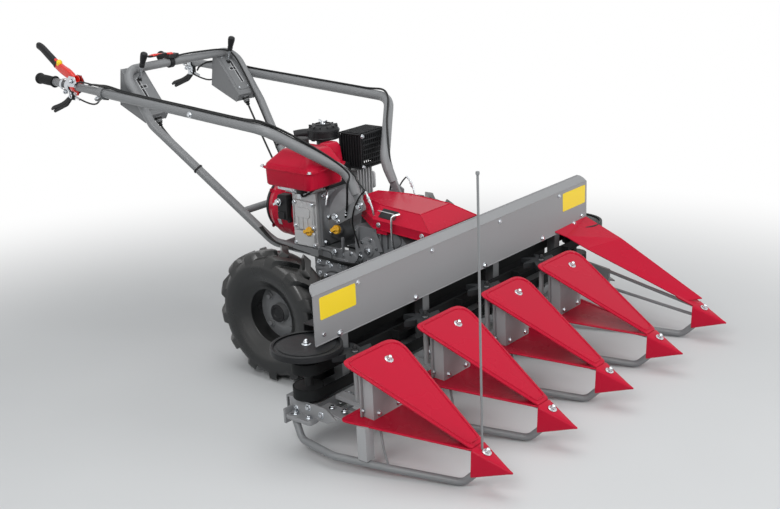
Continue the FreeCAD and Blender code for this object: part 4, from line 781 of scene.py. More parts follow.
class REAPER_OT_engine_top(Operator):
    """Make the red cowl, the air cleaner's fittings and the silencer's slotted guard"""
    bl_idname = "reaper.engine_top"
    bl_label = "Cowl, air cleaner, silencer"

    def execute(self, context):
        cowl = lofted([(581, -104, -49, -38, 26, 0.8), (583, -106, -47, -40, 28, 1),
                       (618, -103, -50, -40, 26, 1), (645, -101, -53, -40, 24, 1), (654, -98, -56, -38, 21, 1),
                       (659, -94, -60, -34, 17, 0.9), (660, -88, -66, -28, 11, 0.6)], 10, 5)
        ear = block((-52, 8, 590), (-36, 24, 596), 5, 1)
        piece("pressed_cowl", [cowl, ear], "red_paint", crease=40, replaces=["engine_cowl"])
        top = np.array((-161.0, 60.0, 698.0))
        wing = [turned([(0, -2), (9, -2), (9, 2), (7, 8), (0, 8)], top, UP, 20)]
        for s in (-1, 1):
            line = smooth_through([top + (s * 3, 0, 4), top + (s * 10, 0, 8), top + (s * 17, 0, 14)], 4)
            wing.append(carried(rounded(4, 12, 1.8, 3), line, TO_LEFT, swelling(line, [0, 0.7, 1], [0.8, 1, 0.5])))
        piece("cleaner_wing_nut", wing, "zinc_plate")
        spoke, quads = block((-1.5, 27, -6), (1.5, 49, -1), 1.2, 0.6)
        spokes = []
        for angle in np.radians(range(0, 360, 30)):
            c, s = math.cos(angle), math.sin(angle)
            spokes.append((spoke @ np.array(((c, s, 0), (-s, c, 0), (0, 0, 1))) + top + (0, 0, -1), quads))
        hoops = [turned([(50, 0), (54, 0), (55, 2), (54, 5), (50, 5)], (top[0], top[1], 655), UP, 64),
                 turned([(50, 0), (53.4, 0), (53.4, 3), (50, 3)], (top[0], top[1], 676), UP, 64),
                 turned([(24, -1), (28, -1), (28, 2), (24, 2)], top, UP, 48)]
        clips = [block((top[0] - 7, top[1] + s * 51 - 3, 650), (top[0] + 7, top[1] + s * 51 + 3, 684), 2, 1)
                 for s in (-1, 1)]
        snorkel = rod([(-201, 40, 668), (-227, 26, 667), (-245, 8, 662)], 15, 20, 8)
        piece("air_cleaner_trim", [*spokes, *hoops, *clips, snorkel], "black_plastic")
        # guard: louvre lips, upright slats and roof ribs stand off the folded box
        x0, x1, y0, y1, z0, z1 = -102, -12, 72, 204, 562, 674
        lip = lambda x, z, lean: carried(rounded(7, 3, 1.2, 3), [(x, y0 + 8, z), (x, y1 - 8, z)], (lean, 0, 1))
        lips = [lip(x1 + 1.5, z, 0.5) for z in range(z0 + 12, z0 + 93, 16)]
        slats = [block((x, low, z0 + 6), (x + 3.2, low + 5, z1 - 5), 1, 0.8)
                 for low in (y0 - 4, y1 - 1) for x in np.linspace(x0 + 5, x1 - 8, 8)]
        roof = [block((x0 + 5, y, z1 - 1), (x1 - 5, y + 3.4, z1 + 4), 1, 0.8)
                for y in np.linspace(y0 + 6, y1 - 10, 14)]
        roof += [block((x, y0 + 5, z1 - 1), (x + 4, y1 - 5, z1 + 2.6), 1, 0.8) for x in (x0 + 24, x0 + 52)]
        back = [lip(x0 - 1.5, z, -0.5) for z in np.linspace(z0 + 14, z1 - 16, 6)]
        front = [block((x1 - 1, y, z0 + 4), (x1 + 3, y + 3.4, z1 - 3), 1, 0.8)
                 for y in np.linspace(y0 + 6, y1 - 10, 13)]
        edges = [((x, y, z0 + 2), (x, y, z1 - 1)) for x in (x0, x1) for y in (y0, y1)]
        edges += [((x, y0, z), (x, y1, z)) for x in (x0, x1) for z in (z0 + 1, z1 - 1)]
        edges += [((x0, y, z), (x1, y, z)) for y in (y0, y1) for z in (z0 + 1, z1 - 1)]
        rails = [rod(edge, 3, 10) for edge in edges]
        piece("silencer_guard_ribs", [*lips, *slats, *roof, *front, *back, *rails], "black_paint")
        bolts = front_bolts(x1 + 2, [(y, z) for y in (y0 + 6, y1 - 6) for z in (z0 + 5, z1 - 6)], 9, 5)
        piece("silencer_bolts", bolts, "zinc_plate")
        return {"FINISHED"}


# ---------------------------------------------------------------- gearbox and hood

class REAPER_OT_gearbox(Operator):
    """Make the gearbox's covers, ribs, bolts, selector levers and the chromed locking bar"""
    bl_idname = "reaper.gearbox"
    bl_label = "Gearbox fittings"

    def execute(self, context):
        face = TO_RIGHT
        bosses = [turned([(0, 0), (r, 0), (r - 1, deep - 2), (r - 4, deep), (0, deep)], (x, -83, z), face, 40)
                  for x, z, r, deep in ((145, 356, 44, 10), (145, 356, 20, 17), (232, 330, 34, 9), (232, 330, 14, 16),
                                        (60, 300, 40, 8), (250, 405, 22, 8))]
        ribs = [block((x, -94, z0), (x + 6, -82, z1), 2.5, 1.5)
                for x, z0, z1 in ((96, 380, 424), (190, 370, 424), (214, 374, 420),
                                  (30, 330, 380), (100, 215, 300), (170, 240, 300))]
        drive = [turned([(0, 0), (84, 0), (84, 10), (80, 14), (66, 18), (60, 18), (56, 15), (0, 15)],
                        (0, -83, TYRE_RADIUS), face, 64),
                 plate(rounded(186, 96, 26, 6), (205, -83, 232), face, (1, 0, -0.1), 14, 3),
                 plate(rounded(120, 60, 18, 6), (205, -96, 232), face, (1, 0, -0.1), 7, 2)]
        drive += [carried(rounded(7, 9, 2, 3), [(72 * math.cos(a), -96, TYRE_RADIUS + 72 * math.sin(a)),
                                                (112 * math.cos(a), -86, TYRE_RADIUS + 112 * math.sin(a))], face)
                  for a in np.radians((35, 75, 115))]
        drive += [plate(rounded(190, 112, 24, 6), (-2, -78, 282), face, FORWARD, 9, 2),
                  plate(rounded(64, 50, 14, 6), (-46, -87, 300), face, FORWARD, 10, 2),
                  plate(rounded(50, 38, 12, 6), (30, -87, 292), face, FORWARD, 12, 2),
                  rod([(-86, -92, 262), (-20, -95, 268), (60, -95, 262)], 6, 14, 10),
                  rod([(-70, -97, 334), (4, -99, 330)], 5, 10, 10)]
        arm = plate([(-7, -40), (7, -40), (10, 0), (7, 26), (-7, 26), (-10, 0)],
                    (182, -92, 398), face, (1, 0, 0.4), 6, 1.2)
        rim = turned([(48, 0), (56, 0), (56, 8), (52, 11), (48, 11)], (0, -102.5, TYRE_RADIUS), face, 56)
        piece("gearbox_covers", both(*bosses, *drive, *ribs, arm, rim), "gearbox_casting", bevel=0.8)
        bolts = []
        for centre, radius, count in (((145, -91, 356), 35, 6), ((232, -90, 330), 26, 5), ((60, -89, 300), 32, 6)):
            bolts += ring_bolts(centre, radius, 2 * math.pi * (np.arange(count) + 0.3) / count, 9, 5)
        bolts += side_bolts(-83, ((182, 411), (280, 372), (290, 300), (92, 408), (20, 240), (96, 226)), 11, 6)
        bolts += side_bolts(-97, ((-66, 312), (-28, 288), (-66, 286)), 10, 6)
        for x, y, z, wide, tall in ((30, -99, 292, 15, 8), (4, -99, 330, 13, 7), (60, -95, 262, 11, 6)):
            bolts.append(hex_bolt((x, y, z), face, wide, tall))
        bolts += ring_bolts((0, -97, TYRE_RADIUS), 76, np.arange(8) * math.pi / 4 + 0.2, 10, 5)
        bolts += side_bolts(-97, ((128, 262), (128, 206), (282, 256), (282, 198)), 10, 5)
        bolts += [hex_bolt((145, -99, 356), face, 15, 8), hex_bolt((232, -98, 330), face, 13, 6)]
        bolts += ring_bolts((0, -112, TYRE_RADIUS), 52, np.arange(6) * math.pi / 3, 8, 5)
        piece("gearbox_bolts", both(*bolts), "zinc_plate")
        # selector levers that the cables pull
        lever = [plate([(-6, -34), (6, -34), (8, 0), (6, 9), (-6, 9), (-8, 0)],
                       (112, -97, 330), face, (1, 0, -0.5), 4, 0.8),
                 turned([(0, 0), (9, 0), (9, 12), (6, 14), (0, 14)], (112, -84, 330), face, 20)]
        piece("selector_levers", both(*lever), "zinc_plate")
        bar = rod([(290, -112, 500), (282, -131, 499), (276, -135, 492), (276, -135, 400),
                   (278, -120, 386), (282, -88, 382)], 4, 12, 8)
        piece("locking_bar", bar, "chrome")
        return {"FINISHED"}


class REAPER_OT_hood(Operator):
    """Make the hood's folds, its blank plate and the screws"""
    bl_idname = "reaper.hood"
    bl_label = "Hood fittings"

    def execute(self, context):
        rake = math.radians(3.3)
        turn = np.array(((math.cos(rake), 0, math.sin(rake)), (0, 1, 0), (-math.sin(rake), 0, math.cos(rake))))
        laid = lambda shape: ((shape[0] - (240, 0, 490)) @ turn.T + (240, 0, 490), shape[1])
        outline = lambda z, *half: [(x, -y, z) for x, y in half] + [(x, y, z) for x, y in reversed(half)]
        fold = lambda ends, radius=1.7, lean=0: [carried(circle(radius, 8), pair, (lean, 0.1, 1)) for pair in ends]
        crest = outline(503, (84, 34), (186, 73), (339, 73))
        shoulder = outline(469, (84, 46), (191, 117), (410, 117))
        skirt = outline(441, (84, 46), (191, 117), (409, 117))
        folds = fold(zip(crest, crest[1:] + crest[:1])) + fold(zip(shoulder, shoulder[1:] + shoulder[:1]))
        folds += fold(zip(crest, shoulder), lean=0.1) + fold(zip(skirt, skirt[1:]), 2.0)
        piece("hood_folds", laid(joined(*folds)), "red_paint", crease=60)
        slant = unit(np.array((0, -34.0, 44.0)))
        card = plate(rounded(62, 34, 3, 4), (234, -95, 486), slant, FORWARD, 1.6, 0.5)
        piece("hood_plate_blank", laid(card), "black_plastic")
        along, across = rounded(62, 34, 3, 5).T
        edge = np.column_stack([along + 234, -95 - across * slant[2], 486 - across * slant[1]]) + slant * 1.6
        piece("hood_plate_rim", laid(carried(rounded(2.4, 2, 0.6, 2), edge, slant, ring=True)), "blank_plate")
        screws = both(*side_bolts(-117.5, ((212, 455), (380, 455)), 10, 5))
        piece("hood_screws", laid(screws), "zinc_plate")
        return {"FINISHED"}


# ---------------------------------------------------------------- handles

# where a handlebar turns straight back, and how much it draws in and climbs for each millimetre from there
ELBOW = (-70.0, 295.0, 754.0)
DRAW_IN, CLIMB = 0.014834, 0.060209


def on_handle(side, x, out=0.0, rise=0.0):
    """Point on a handlebar's middle line at x, moved outwards and upwards from it."""
    back = ELBOW[0] - x
    return np.array((x, side * (ELBOW[1] - DRAW_IN * back + out), ELBOW[2] + CLIMB * back + rise))


def handle_axis(side):
    return unit(np.array((-1, side * -DRAW_IN, CLIMB)))


def band(at, axis, radius, long, thick, ear=(0, 0, -1), ears=15.0):
    """Clamp band round a bar, with two ears squeezed by a bolt."""
    at, axis = np.asarray(at, float), unit(axis)
    hoop = turned([(radius, 0), (radius + thick - 0.4, 0), (radius + thick, 0.6), (radius + thick, long - 0.6),
                   (radius + thick - 0.4, long), (radius, long)], at, axis, 36)
    out = unit(np.asarray(ear, float) - np.dot(ear, axis) * axis)
    across = np.cross(axis, out)
    shapes = [hoop]
    for s in (-1, 1):
        spot = at + axis * long / 2 + out * (radius + ears / 2) + across * s * 1.6
        shapes.append(plate(rounded(ears + 3, long, min(5, 0.4 * long), 5), spot, across * s, out, 1.8, 0.4))
    spot = at + axis * long / 2 + out * (radius + ears * 0.62)
    return joined(*shapes), joined(hex_bolt(spot + across * 3.6, across, 8, 4.5),
                                   hex_bolt(spot - across * 3.6, -across, 8, 4))


class REAPER_OT_grips(Operator):
    """Make the ribbed grips with their flanges"""
    bl_idname = "reaper.grips"
    bl_label = "Grips"

    def execute(self, context):
        along = np.linspace(0, 97.0, 141)
        ribs = 0.75 * np.abs(np.sin(along * math.pi / 6.2)) ** 0.5
        swell = 0.7 * np.sin(np.pi * np.clip((along - 10) / 80, 0, 1))
        radius = 15.9 + swell + np.where((along > 7) & (along < 91), ribs, 0.6)
        radius = np.where(along < 4, 21.0 - 0.35 * np.abs(along - 2) ** 2, radius)
        radius = np.where(along > 84, 16.8 + 3.4 * np.sin(np.pi * np.clip((along - 84) / 13.4, 0, 1)) ** 0.6, radius)
        bore = [(0, 97.0), (0, 92.0), (14.2, 92.0), (14.2, -0.01)]
        profile = np.concatenate([[(14.2, -0.01)], np.stack([radius, along], -1), bore])
        for side, word in SIDES:
            shape = turned(profile, on_handle(side, -1119), handle_axis(side), 48)
            piece(f"ribbed_grip_{word}", shape, "grip_rubber", crease=50,
                  replaces=["grips"] if side == RIGHT else ())
        return {"FINISHED"}


class REAPER_OT_levers(Operator):
    """Make the clutch levers' clamps and blades, the stop lever with its bracket, and the stop cable"""
    bl_idname = "reaper.levers"
    bl_label = "Hand levers"

    def execute(self, context):
        bands, bolts, black = [], [], []
        for side, _ in SIDES:
            axis = handle_axis(side)
            for x, long in ((-1019.5, 22), (-1058, 12)):
                hoop, pins = band(on_handle(side, x), axis, 18.9, long, 1.6)
                bands.append(hoop)
                bolts.append(pins)
            # post plate, pivot and the clutch cable's stop
            post = on_handle(side, -1038)
            out, back = (0, side, 0), (0, -side, 0)
            bands.append(plate([(-13, -22), (13, -22), (13, 16), (-13, 16)], post + (0, side * -9, -32),
                               out, FORWARD, 2.2, 0.5))
            bolts.append(hex_bolt(post + (6, side * -9.4, -38), back, 10, 6))
            bolts.append(hex_bolt(post + (-6, side * -9.4, -24), back, 8, 5))
            bolts.append(hex_bolt(post + (6, side * 4.5, -38), out, 10, 5))
            bolts.append(turned(pin(3.6, 26), on_handle(side, -1018) + (0, side * -4, -40), (1, 0, -0.28), 12))
            # flattened blade of the clutch lever under its hooked rod, dipped in black vinyl
            line = smooth_through([post + (2, 0, -38), post + (-26, 0, -58), post + (-60, 0, -74),
                                   post + (-104, 0, -88), post + (-122, 0, -96)], 6)
            scale = swelling(line, [0, 0.15, 0.75, 1], [0.7, 1, 1, 0.55])
            black.append(carried(rounded(11, 14, 3.4, 4), line, UP, scale))
        piece("lever_clamps", bands, "zinc_plate")
        piece("lever_bolts", bolts, "zinc_plate")
        piece("clutch_blades", black, "black_plastic")
        # stop lever on the right bar: red body with a ridge, black grip, yellow lock button, bright bracket
        base = on_handle(RIGHT, -990)
        over = lambda *places: smooth_through([base + (x, 0, z) for x, z in places])
        hoop, squeeze = band(base, handle_axis(RIGHT), 14.6, 22, 4.5)
        line = over((-14, 27), (-42, 43), (-72, 55), (-100, 70), (-116, 81))
        red = carried(rounded(18, 31, 6, 5), line, UP,
                      swelling(line, [0, 0.06, 0.3, 0.8, 1], [0.7, 0.95, 1.06, 0.94, 0.86]))
        line = over((-21, 40.5), (-49, 56.5), (-79, 68.5), (-107, 83.5))
        ridge = carried(rounded(7, 5, 2.2, 4), line, UP, swelling(line, [0, 0.1, 0.9, 1], [0.6, 1, 1, 0.6]))
        piece("stop_lever_body", [red, ridge, hoop], "red_plastic", crease=40, replaces=["stop_lever"])
        piece("stop_lever_band_pin", squeeze, "zinc_plate")
        hub = [turned([(0, 0), (15, 0), (15, 3), (12, 5), (0, 5)], base + (-12, s * 8, 24), (0, s, 0), 32)
               for s in (-1, 1)]
        piece("stop_lever_hub", hub, "red_plastic")
        line = over((-101, 70), (-118, 82), (-150, 104), (-178, 123), (-196, 131), (-204, 133.5))
        scale = swelling(line, [0, 0.02, 0.1, 0.3, 0.8, 0.95, 1], [0.9, 1.16, 1.0, 0.98, 0.92, 0.78, 0.4])
        grip = carried(rounded(22, 26, 9, 6), line, UP, scale)
        piece("stop_lever_grip", grip, "black_plastic")
        lock = turned([(0, -9), (9.5, -9), (10.5, 0), (9.8, 5), (7, 9), (0, 10.5)],
                      base + (-88, -1, 78), (0.47, -0.1, 0.88), 28)
        piece("lock_button", lock, "yellow_vinyl")
        outline = [(-24, -14), (20, -14), (26, 2), (18, 22), (-12, 24), (-30, 8)]
        shell = [plate(outline, base + (-6, y, 16), TO_RIGHT, FORWARD, 2.0, 0.6) for y in (-17, 17)]
        pins = [hex_bolt(base + (-8, -22, 22), TO_RIGHT, 10, 6), hex_bolt(base + (10, -19, 8), TO_RIGHT, 8, 5),
                hex_bolt(base + (-8, 20, 22), TO_LEFT, 10, 6)]
        piece("stop_lever_bracket", shell, "zinc_plate")
        piece("stop_lever_pins", pins, "zinc_plate")
        route = [base + (12, -20, 10), base + (40, -14, 22)]
        route += [on_handle(RIGHT, *place)
                  for place in ((-870, 6, 22), (-820, 6, 24), (-700, 5, 18), (-420, 5, 18), (-180, 5, 18))]
        route += [(-80, -288, 770), (2, -188, 692), (80, -94, 606), (118, -99, 576), (152, -103, 551)]
        piece("stop_cable", carried(circle(2.8, 10), smooth_through(route, 10), (0.2, 1, 0.1)), "cable_sheath")
        return {"FINISHED"}


class REAPER_OT_handlebars(Operator):
    """Make the handlebars: bent tubes with a flattened foot that stands on the gearbox bracket"""
    bl_idname = "reaper.handlebars"
    bl_label = "Handlebars"

    def execute(self, context):
        for side, word in SIDES:
            bolt, knee = np.array((120, side * 90, 497.0)), np.array((70, side * 90, 597.0))
            foot = bolt + (knee - bolt) * 0.34
            route = bent([foot, knee, on_handle(side, ELBOW[0]), on_handle(side, -842)], 84)
            ease = np.ones(len(route))
            ease[0] = 0.9
            bar = carried(circle(16.2, 28), route, (0.1, side, 0.35), ease)
            line = np.linspace(bolt + unit(bolt - knee) * 17, foot + unit(knee - bolt) * 16, 9)
            tongue = carried(rounded(31, 10, 4, 4), line, TO_LEFT,
                             np.interp(np.arange(9), [0, 1, 7, 8], [0.7, 1, 1, 0.8]))
            piece(f"bent_bar_{word}", [bar, tongue], "grey_paint", crease=40,
                  replaces=[f"handlebar_{word}"])
        return {"FINISHED"}


class REAPER_OT_handle_bolts(Operator):
    """Make the collars' clamp bands and the bolts of the handles' feet, the frame's legs and the engine rails"""
    bl_idname = "reaper.handle_bolts"
    bl_label = "Handle bolts and collars"

    def execute(self, context):
        bolts, ears = [], []
        for side, _ in SIDES:
            hoop, pins = band(on_handle(side, -836), handle_axis(side), 20.5, 20, 2, ear=(0, side, -0.6), ears=17)
            ears.append(hoop)
            bolts += [pins, hex_bolt(on_handle(side, -389, 15.6), (0, side, 0), 12, 6)]
            bolts += [hex_bolt((x, side * y, z), (0, side, 0), wide, tall) for x, y, z, wide, tall in (
                (120, 100, 497, 15, 8), (17, 100, 448, 15, 8), (30, 100, 436, 9, 5), (130, 100, 505, 9, 5),
                (-365, 140, 419, 11, 6), (-237, 92, 312, 11, 6), (60, 81, 300, 12, 6))]
        piece("collar_clamps", ears, "grey_paint")
        piece("handle_bolts", bolts, "zinc_plate")
        return {"FINISHED"}


class REAPER_OT_cables(Operator):
    """Make the control cables and wires, the ties on the frame's legs and the adjusters at the cables' ends"""
    bl_idname = "reaper.cables"
    bl_label = "Control wires"

    def execute(self, context):
        by_bar = lambda *places: [on_handle(RIGHT, *place) for place in places]
        loop = rod(by_bar((-1022, -12, -42), (-985, -13, -52), (-916, -14, -56), (-876, -8, -24), (-840, 2, -20),
                          (-818, 4, -17)), 3.0, 10, 9)
        piece("clutch_wire_loop", both(loop), "cable_sheath")
        # clutch cables on top of the bars, shift cables down the legs, and the near pair along the engine rail
        route = by_bar((-1004, -3, -28), (-975, -14, -8), (-930, -10, 14), (-870, -4, 22),
                       (-820, -4, 25), (-700, -3, 19), (-420, -3, 19), (-180, -3, 19))
        route += [(-72, -282, 772), (9, -182, 693), (80, -104, 606), (84, -110, 560),
                  (76, -106, 500), (64, -103.5, 455)]
        held = carried(circle(3.5, 12), smooth_through(route, 10), (0.2, 1, 0.1))
        down = rod([(-662.5, -204, 699), (-646, -204, 664), (-318, -84, 345), (-262, -46, 293), (81, -46, 293)],
                   3.5, 12, 12)
        piece("held_cables", [both(held), both(down)], "cable_sheath",
              crease=40, replaces=["control_cables"])
        rail = [rod([(-300, -118 - 8 * s, 372), (-272, -114 - 8 * s, 336 + 4 * s), (-214, -112 - 6 * s, 316 + 5 * s),
                     (-60, -108 - 6 * s, 306 + 6 * s), (60, -104 - 6 * s, 296 + 6 * s), (112, -102, 300 + 8 * s)],
                    3.6, 10, 10)
                for s in (0, 1)]
        piece("rail_cables", rail, "cable_sheath")
        ties, metal = [], []
        for side, _ in SIDES:
            a, b = np.array((-267, side * 98, 319.0)), np.array((-644, side * 252, 704.0))
            ties.append(turned([(16, 0), (17.2, 0), (17.2, 6), (16, 6)], a + 0.62 * (b - a), b - a, 28))
            # threaded adjusters with lock nuts at the sheaths' ends
            for at, way in (((81, side * 46, 293), BACK), ((64, side * 103.5, 455), (0.2, 0, 0.95)),
                            ((159, side * 105, 541), (0.4, 0, -0.9))):
                metal.append(turned(pin(3.2, 26), at, way, 12))
                metal += [hex_bolt(np.array(at, float) + along * unit(way), way, 9, 4, 1.1) for along in (8, 18)]
        stay = both(rod([(148, -101, 552), (160, -105, 541), (176, -105, 508), (182, -100, 470), (180, -92, 424)],
                        3, 10))
        wire = both(rod([(112, -100, 362), (104, -104, 400), (88, -106, 450), (120, -104, 530), (150, -102, 552)],
                        2.4, 10, 9))
        piece("cable_ties", ties, "black_plastic")
        piece("adjusters", [*metal, stay], "zinc_plate")
        piece("selector_wires", wire, "cable_sheath")
        return {"FINISHED"}


class REAPER_OT_throttle(Operator):
    """Make the throttle's red lever, its housing and its cable"""
    bl_idname = "reaper.throttle"
    bl_label = "Throttle"

    def execute(self, context):
        stand = np.array((-767.0, -42.0, 898.5))
        dish = turned([(0, 0), (21, 0), (21, 9), (19, 12), (0, 12)], stand + (0, -4, -7), UP, 40)
        cap = turned([(0, 0), (12, 0), (12, 3), (9, 6), (0, 6)], stand + (0, -4, 5), UP, 32)
        piece("throttle_dish", [dish, block((-779, -66, 890), (-755, -18, 904), 6, 1.5)], "black_plastic")
        line = smooth_through([stand + (0, y, z) for y, z in ((0, 8), (-34, 10), (-66, 12), (-94, 11))])
        arm = carried(rounded(13, 6, 2.4, 4), line, UP, swelling(line, [0, 0.3, 0.85, 1], [1.1, 0.85, 1.25, 0.7]))
        piece("throttle_arm", [arm, cap], "red_plastic")
        hoop, pins = band((-767, -57, 877), TO_LEFT, 15.2, 14, 1.6, ear=(-1, 0, 0.2), ears=13)
        piece("throttle_band", [hoop, pins], "zinc_plate")
        wire = rod([stand + (4, 14, -4), (-756, 20, 898), (-752, 90, 896), (-748, 170, 893),
                    (-744, 226, 878), (-700, 236, 800), (-640, 226, 716), (-480, 160, 552),
                    (-330, 96, 400), (-276, 60, 350), (-230, 40, 320), (-150, 34, 318)], 3.0, 10, 9)
        piece("throttle_wire", wire, "cable_sheath")
        return {"FINISHED"}


class REAPER_OT_consoles(Operator):
    """Make the shift consoles' gates and slots, the knobs on their sticks, the screws, seams and cable boots"""
    bl_idname = "reaper.consoles"
    bl_label = "Shift consoles"

    def execute(self, context):
        slant = unit(np.array((0.777, 0, 0.629)))
        along = unit(np.array((0.629, 0, -0.777)))
        gates, slots, knobs, sticks, screws, boots, rims, edging = [], [], [], [], [], [], [], []
        for side, _ in SIDES:
            face = np.array((-720.5, side * 208.0, 807.5))
            gates.append(plate(rounded(150, 62, 8, 5), face, slant, along, 1.6, 0.5))
            long_at, short_at = face + (0, side * 6, 0), face - along * 14 + (0, side * -2, 0)
            slots.append(plate(rounded(92, 7, 3.4, 5), long_at + slant * 1.2, slant, along, 0.8, 0.2))
            slots.append(plate(rounded(7, 26, 3.4, 5), short_at + slant * 1.2, slant, along, 0.9, 0.2))
            for at, wide, tall in ((long_at, 96, 12), (short_at, 14, 31)):
                loop = rounded(wide, tall, 5, 5)
                line = at + slant * 1.9 + loop[:, :1] * along + loop[:, 1:] * np.array(TO_LEFT)
                edging.append(closed_bead(circle(1.3, 6), line, slant))
            head = [(0, 0), (4.6, 0), (4.2, 1.6), (2, 2.4), (0, 2.4)]
            screws += [turned(head, face + along * a + (0, w, 0) + slant * 1.4, slant, 18)
                       for a in (-66, 66) for w in (-22, 22)]
            foot, tip = np.array((-749, side * 204, 838.0)), np.array((-716, side * 200, 924.0))
            way = unit(tip - foot)
            profile = [(0, 0), (7, 0), (8, 1.5), (8.6, 14), (10.4, 26), (12, 38),
                       (12.4, 46), (11.6, 51), (8, 54), (0, 54.6)]
            knobs.append(turned(profile, tip - way * 43.6, way, 32))
            knobs += [turned([(8.4, -1.2), (9.8 + 0.1 * r, 0), (8.4, 1.2)], tip - way * (40 - 5.0 * r), way, 32)
                      for r in range(3)]
            sticks.append(turned(pin(3.6, 62), foot - way * 2, way, 16))
            bellows = [(0, -1), (10, -1), (10, 2), (7.5, 4), (9, 7), (6.4, 9), (7.6, 12), (5, 14), (0, 14)]
            boots.append(turned(bellows, foot - way * 4, way, 28))
            bellows = [(0, 4), (13, 4), (13, 10), (10, 12), (11.5, 17), (8, 19),
                       (9.5, 24), (6, 26), (7, 31), (4.5, 34), (0, 34)]
            boots.append(turned(bellows, (-673, side * 204, 722), (0.42, 0, -0.9), 28))
            steps = np.linspace(0, 1, 8, endpoint=False)[:, None]
            for y in (165.5, 251.5):
                loop = [np.array((x, side * y, z))
                        for x, z in ((-780, 881.0), (-661, 734.0), (-678, 709.0), (-801, 760.0))]
                line = np.concatenate([a + steps * (b - a) for a, b in zip(loop, loop[1:] + loop[:1])])
                rims.append(carried(circle(1.6, 8), line, TO_LEFT, ring=True))
        piece("shift_gates", gates, "console_plastic")
        piece("shift_slot_rims", edging, "blank_plate")
        piece("shift_slots", slots, "black_paint")
        piece("shift_knobs", knobs, "black_plastic", crease=40, replaces=["shift_levers"])
        piece("shift_sticks", sticks, "zinc_plate")
        piece("console_screws", screws, "zinc_plate")
        piece("cable_boots", boots, "cable_sheath")
        piece("console_seams", rims, "console_plastic")
        return {"FINISHED"}


# ---------------------------------------------------------------- header

DIVIDERS = (-600.0, -300.0, 0.0, 300.0)  # the four full dividers from the right
NOSES = (*DIVIDERS, 600.0)
PANEL_FACE = 462.0
STAR_AXLE = 524.0
KNIFE_PITCH = 76.2


class REAPER_OT_panel(Operator):
    """Make the front panel's bolts, folds and two blank plates, and the deflector's link"""
    bl_idname = "reaper.panel"
    bl_label = "Front panel"

    def execute(self, context):
        bolts = front_bolts(PANEL_FACE, [(y, 317) for y in (-587, -261, 78, 405, 600)], 12, 5)
        bolts += front_bolts(PANEL_FACE, [(y, 435) for y in (-506, -180, 163, 506)], 9, 4)
        bolts += front_bolts(459, [(y, 334) for y in (-650, 650)], 12, 6)
        bolts += front_bolts(458, [(y, 127) for y in (-560, -400, -200, 200, 400, 560)], 11, 6)
        bolts += front_bolts(632, [(y + s * 40, z) for y in DIVIDERS for s in (-1, 1) for z in (150, 250)], 10, 5)
        piece("header_bolts", bolts, "zinc_plate")
        signs = [plate(rounded(142, 62, 5, 5), (461.8, y, 406), FORWARD, TO_LEFT, 1.0, 0.3) for y in (-588, 600)]
        outline = [(-62, -20), (-40, -30), (36, -20), (40, 18), (-30, 30), (-66, 22)]
        link = plate(outline, (899, 604, 121.5), (0.36, 0, 0.93), FORWARD, 4.5, 1)
        piece("deflector_link", link, "red_paint")
        piece("blank_signs", signs, "yellow_vinyl")
        fold = lambda radius, x, z, *places: carried(circle(radius, 8), [(x, y, z) for y in places], (0, 0.1, 1))
        seam = [fold(1.8, PANEL_FACE, 309.5, -682, -300, 300, 682), fold(1.5, 461.5, 448, -672, 672),
                fold(1.8, 440, 470, -655, 655)]
        piece("panel_folds", seam, "light_grey_paint")
        return {"FINISHED"}


class REAPER_OT_belts(Operator):
    """Make the pulley covers' rims, domes and nuts, and the belts' edge cords"""
    bl_idname = "reaper.belts"
    bl_label = "Belts and pulleys"

    def execute(self, context):
        rims, bolts = [], []
        for side, _ in SIDES:
            centre = np.array((418, side * 672, 288.0))
            rims.append(turned([(88, 15.2), (93, 17.4), (96.4, 16), (96.9, 13), (96.4, 2), (94, 0), (88, 2)],
                               centre, UP, 96))
            rims.append(turned([(0, 15.8), (34, 16.6), (60, 17.2), (70, 16.4), (78, 14.6), (60, 13), (0, 13)],
                               centre, UP, 96))
            bolts.append(domed_nut(centre + (0, 0, 15.8), UP, 15))
        piece("pulley_cover_rims", rims, "black_plastic")
        piece("pulley_cover_bolts", bolts, "zinc_plate")
        strips = [block((x - 0.9, -660, z), (x + 0.9, 660, z + 3), 0.4, 0.3)
                  for z in (158.5, 183.5, 230.5, 255.5) for x in (462.4, 373.6)]
        piece("belt_edges", strips, "belt_rubber")
        return {"FINISHED"}


def cover_frame(y):
    """Middle, forward, sideways and outward directions of a divider cover's slanting top."""
    return [np.array(way, float) for way in ((640, y, 275), (0.8796, 0, -0.4756), TO_LEFT, (0.4756, 0, 0.8796))]


def cover_loop(inset, rear=-70.0, front=313.0, small=26.0, large=62.0):
    """Outline of a cover drawn in by an inset, as a closed line along and across it: two straight long sides from the
    nose to the rear, where the right corner is small and the left one large."""
    corners = np.array([(rear + inset, -118 + inset), (front - inset, -26 + 0.6 * inset),
                        (front - inset, 26 - 0.6 * inset), (rear + inset, 108 - inset)])
    return bent(corners, [max(small - inset * 0.4, 4), 8, 8, max(large - inset * 0.6, 8)], 10, ring=True)


POLE = np.array([(40.0, -4.0)])  # where a cover's and a floor's rings close, along and across


def between_poles(first, rings, last):
    """Skin through closed rings, drawn in to a point at each end."""
    count = len(rings[0])
    return net(np.stack([np.repeat(first, count, 0), *rings, np.repeat(last, count, 0)]))


def closed_bead(section, line, out):
    """Section carried round a closed line, whose long runs are first cut into equal steps."""
    steps = np.concatenate([line, line[:1]])
    along = np.concatenate([[0], np.cumsum(np.linalg.norm(np.diff(steps, axis=0), axis=1))])
    even = np.linspace(0, along[-1], 150, endpoint=False)
    return carried(section, np.stack([np.interp(even, along, steps[:, k]) for k in range(3)], -1), out, ring=True)


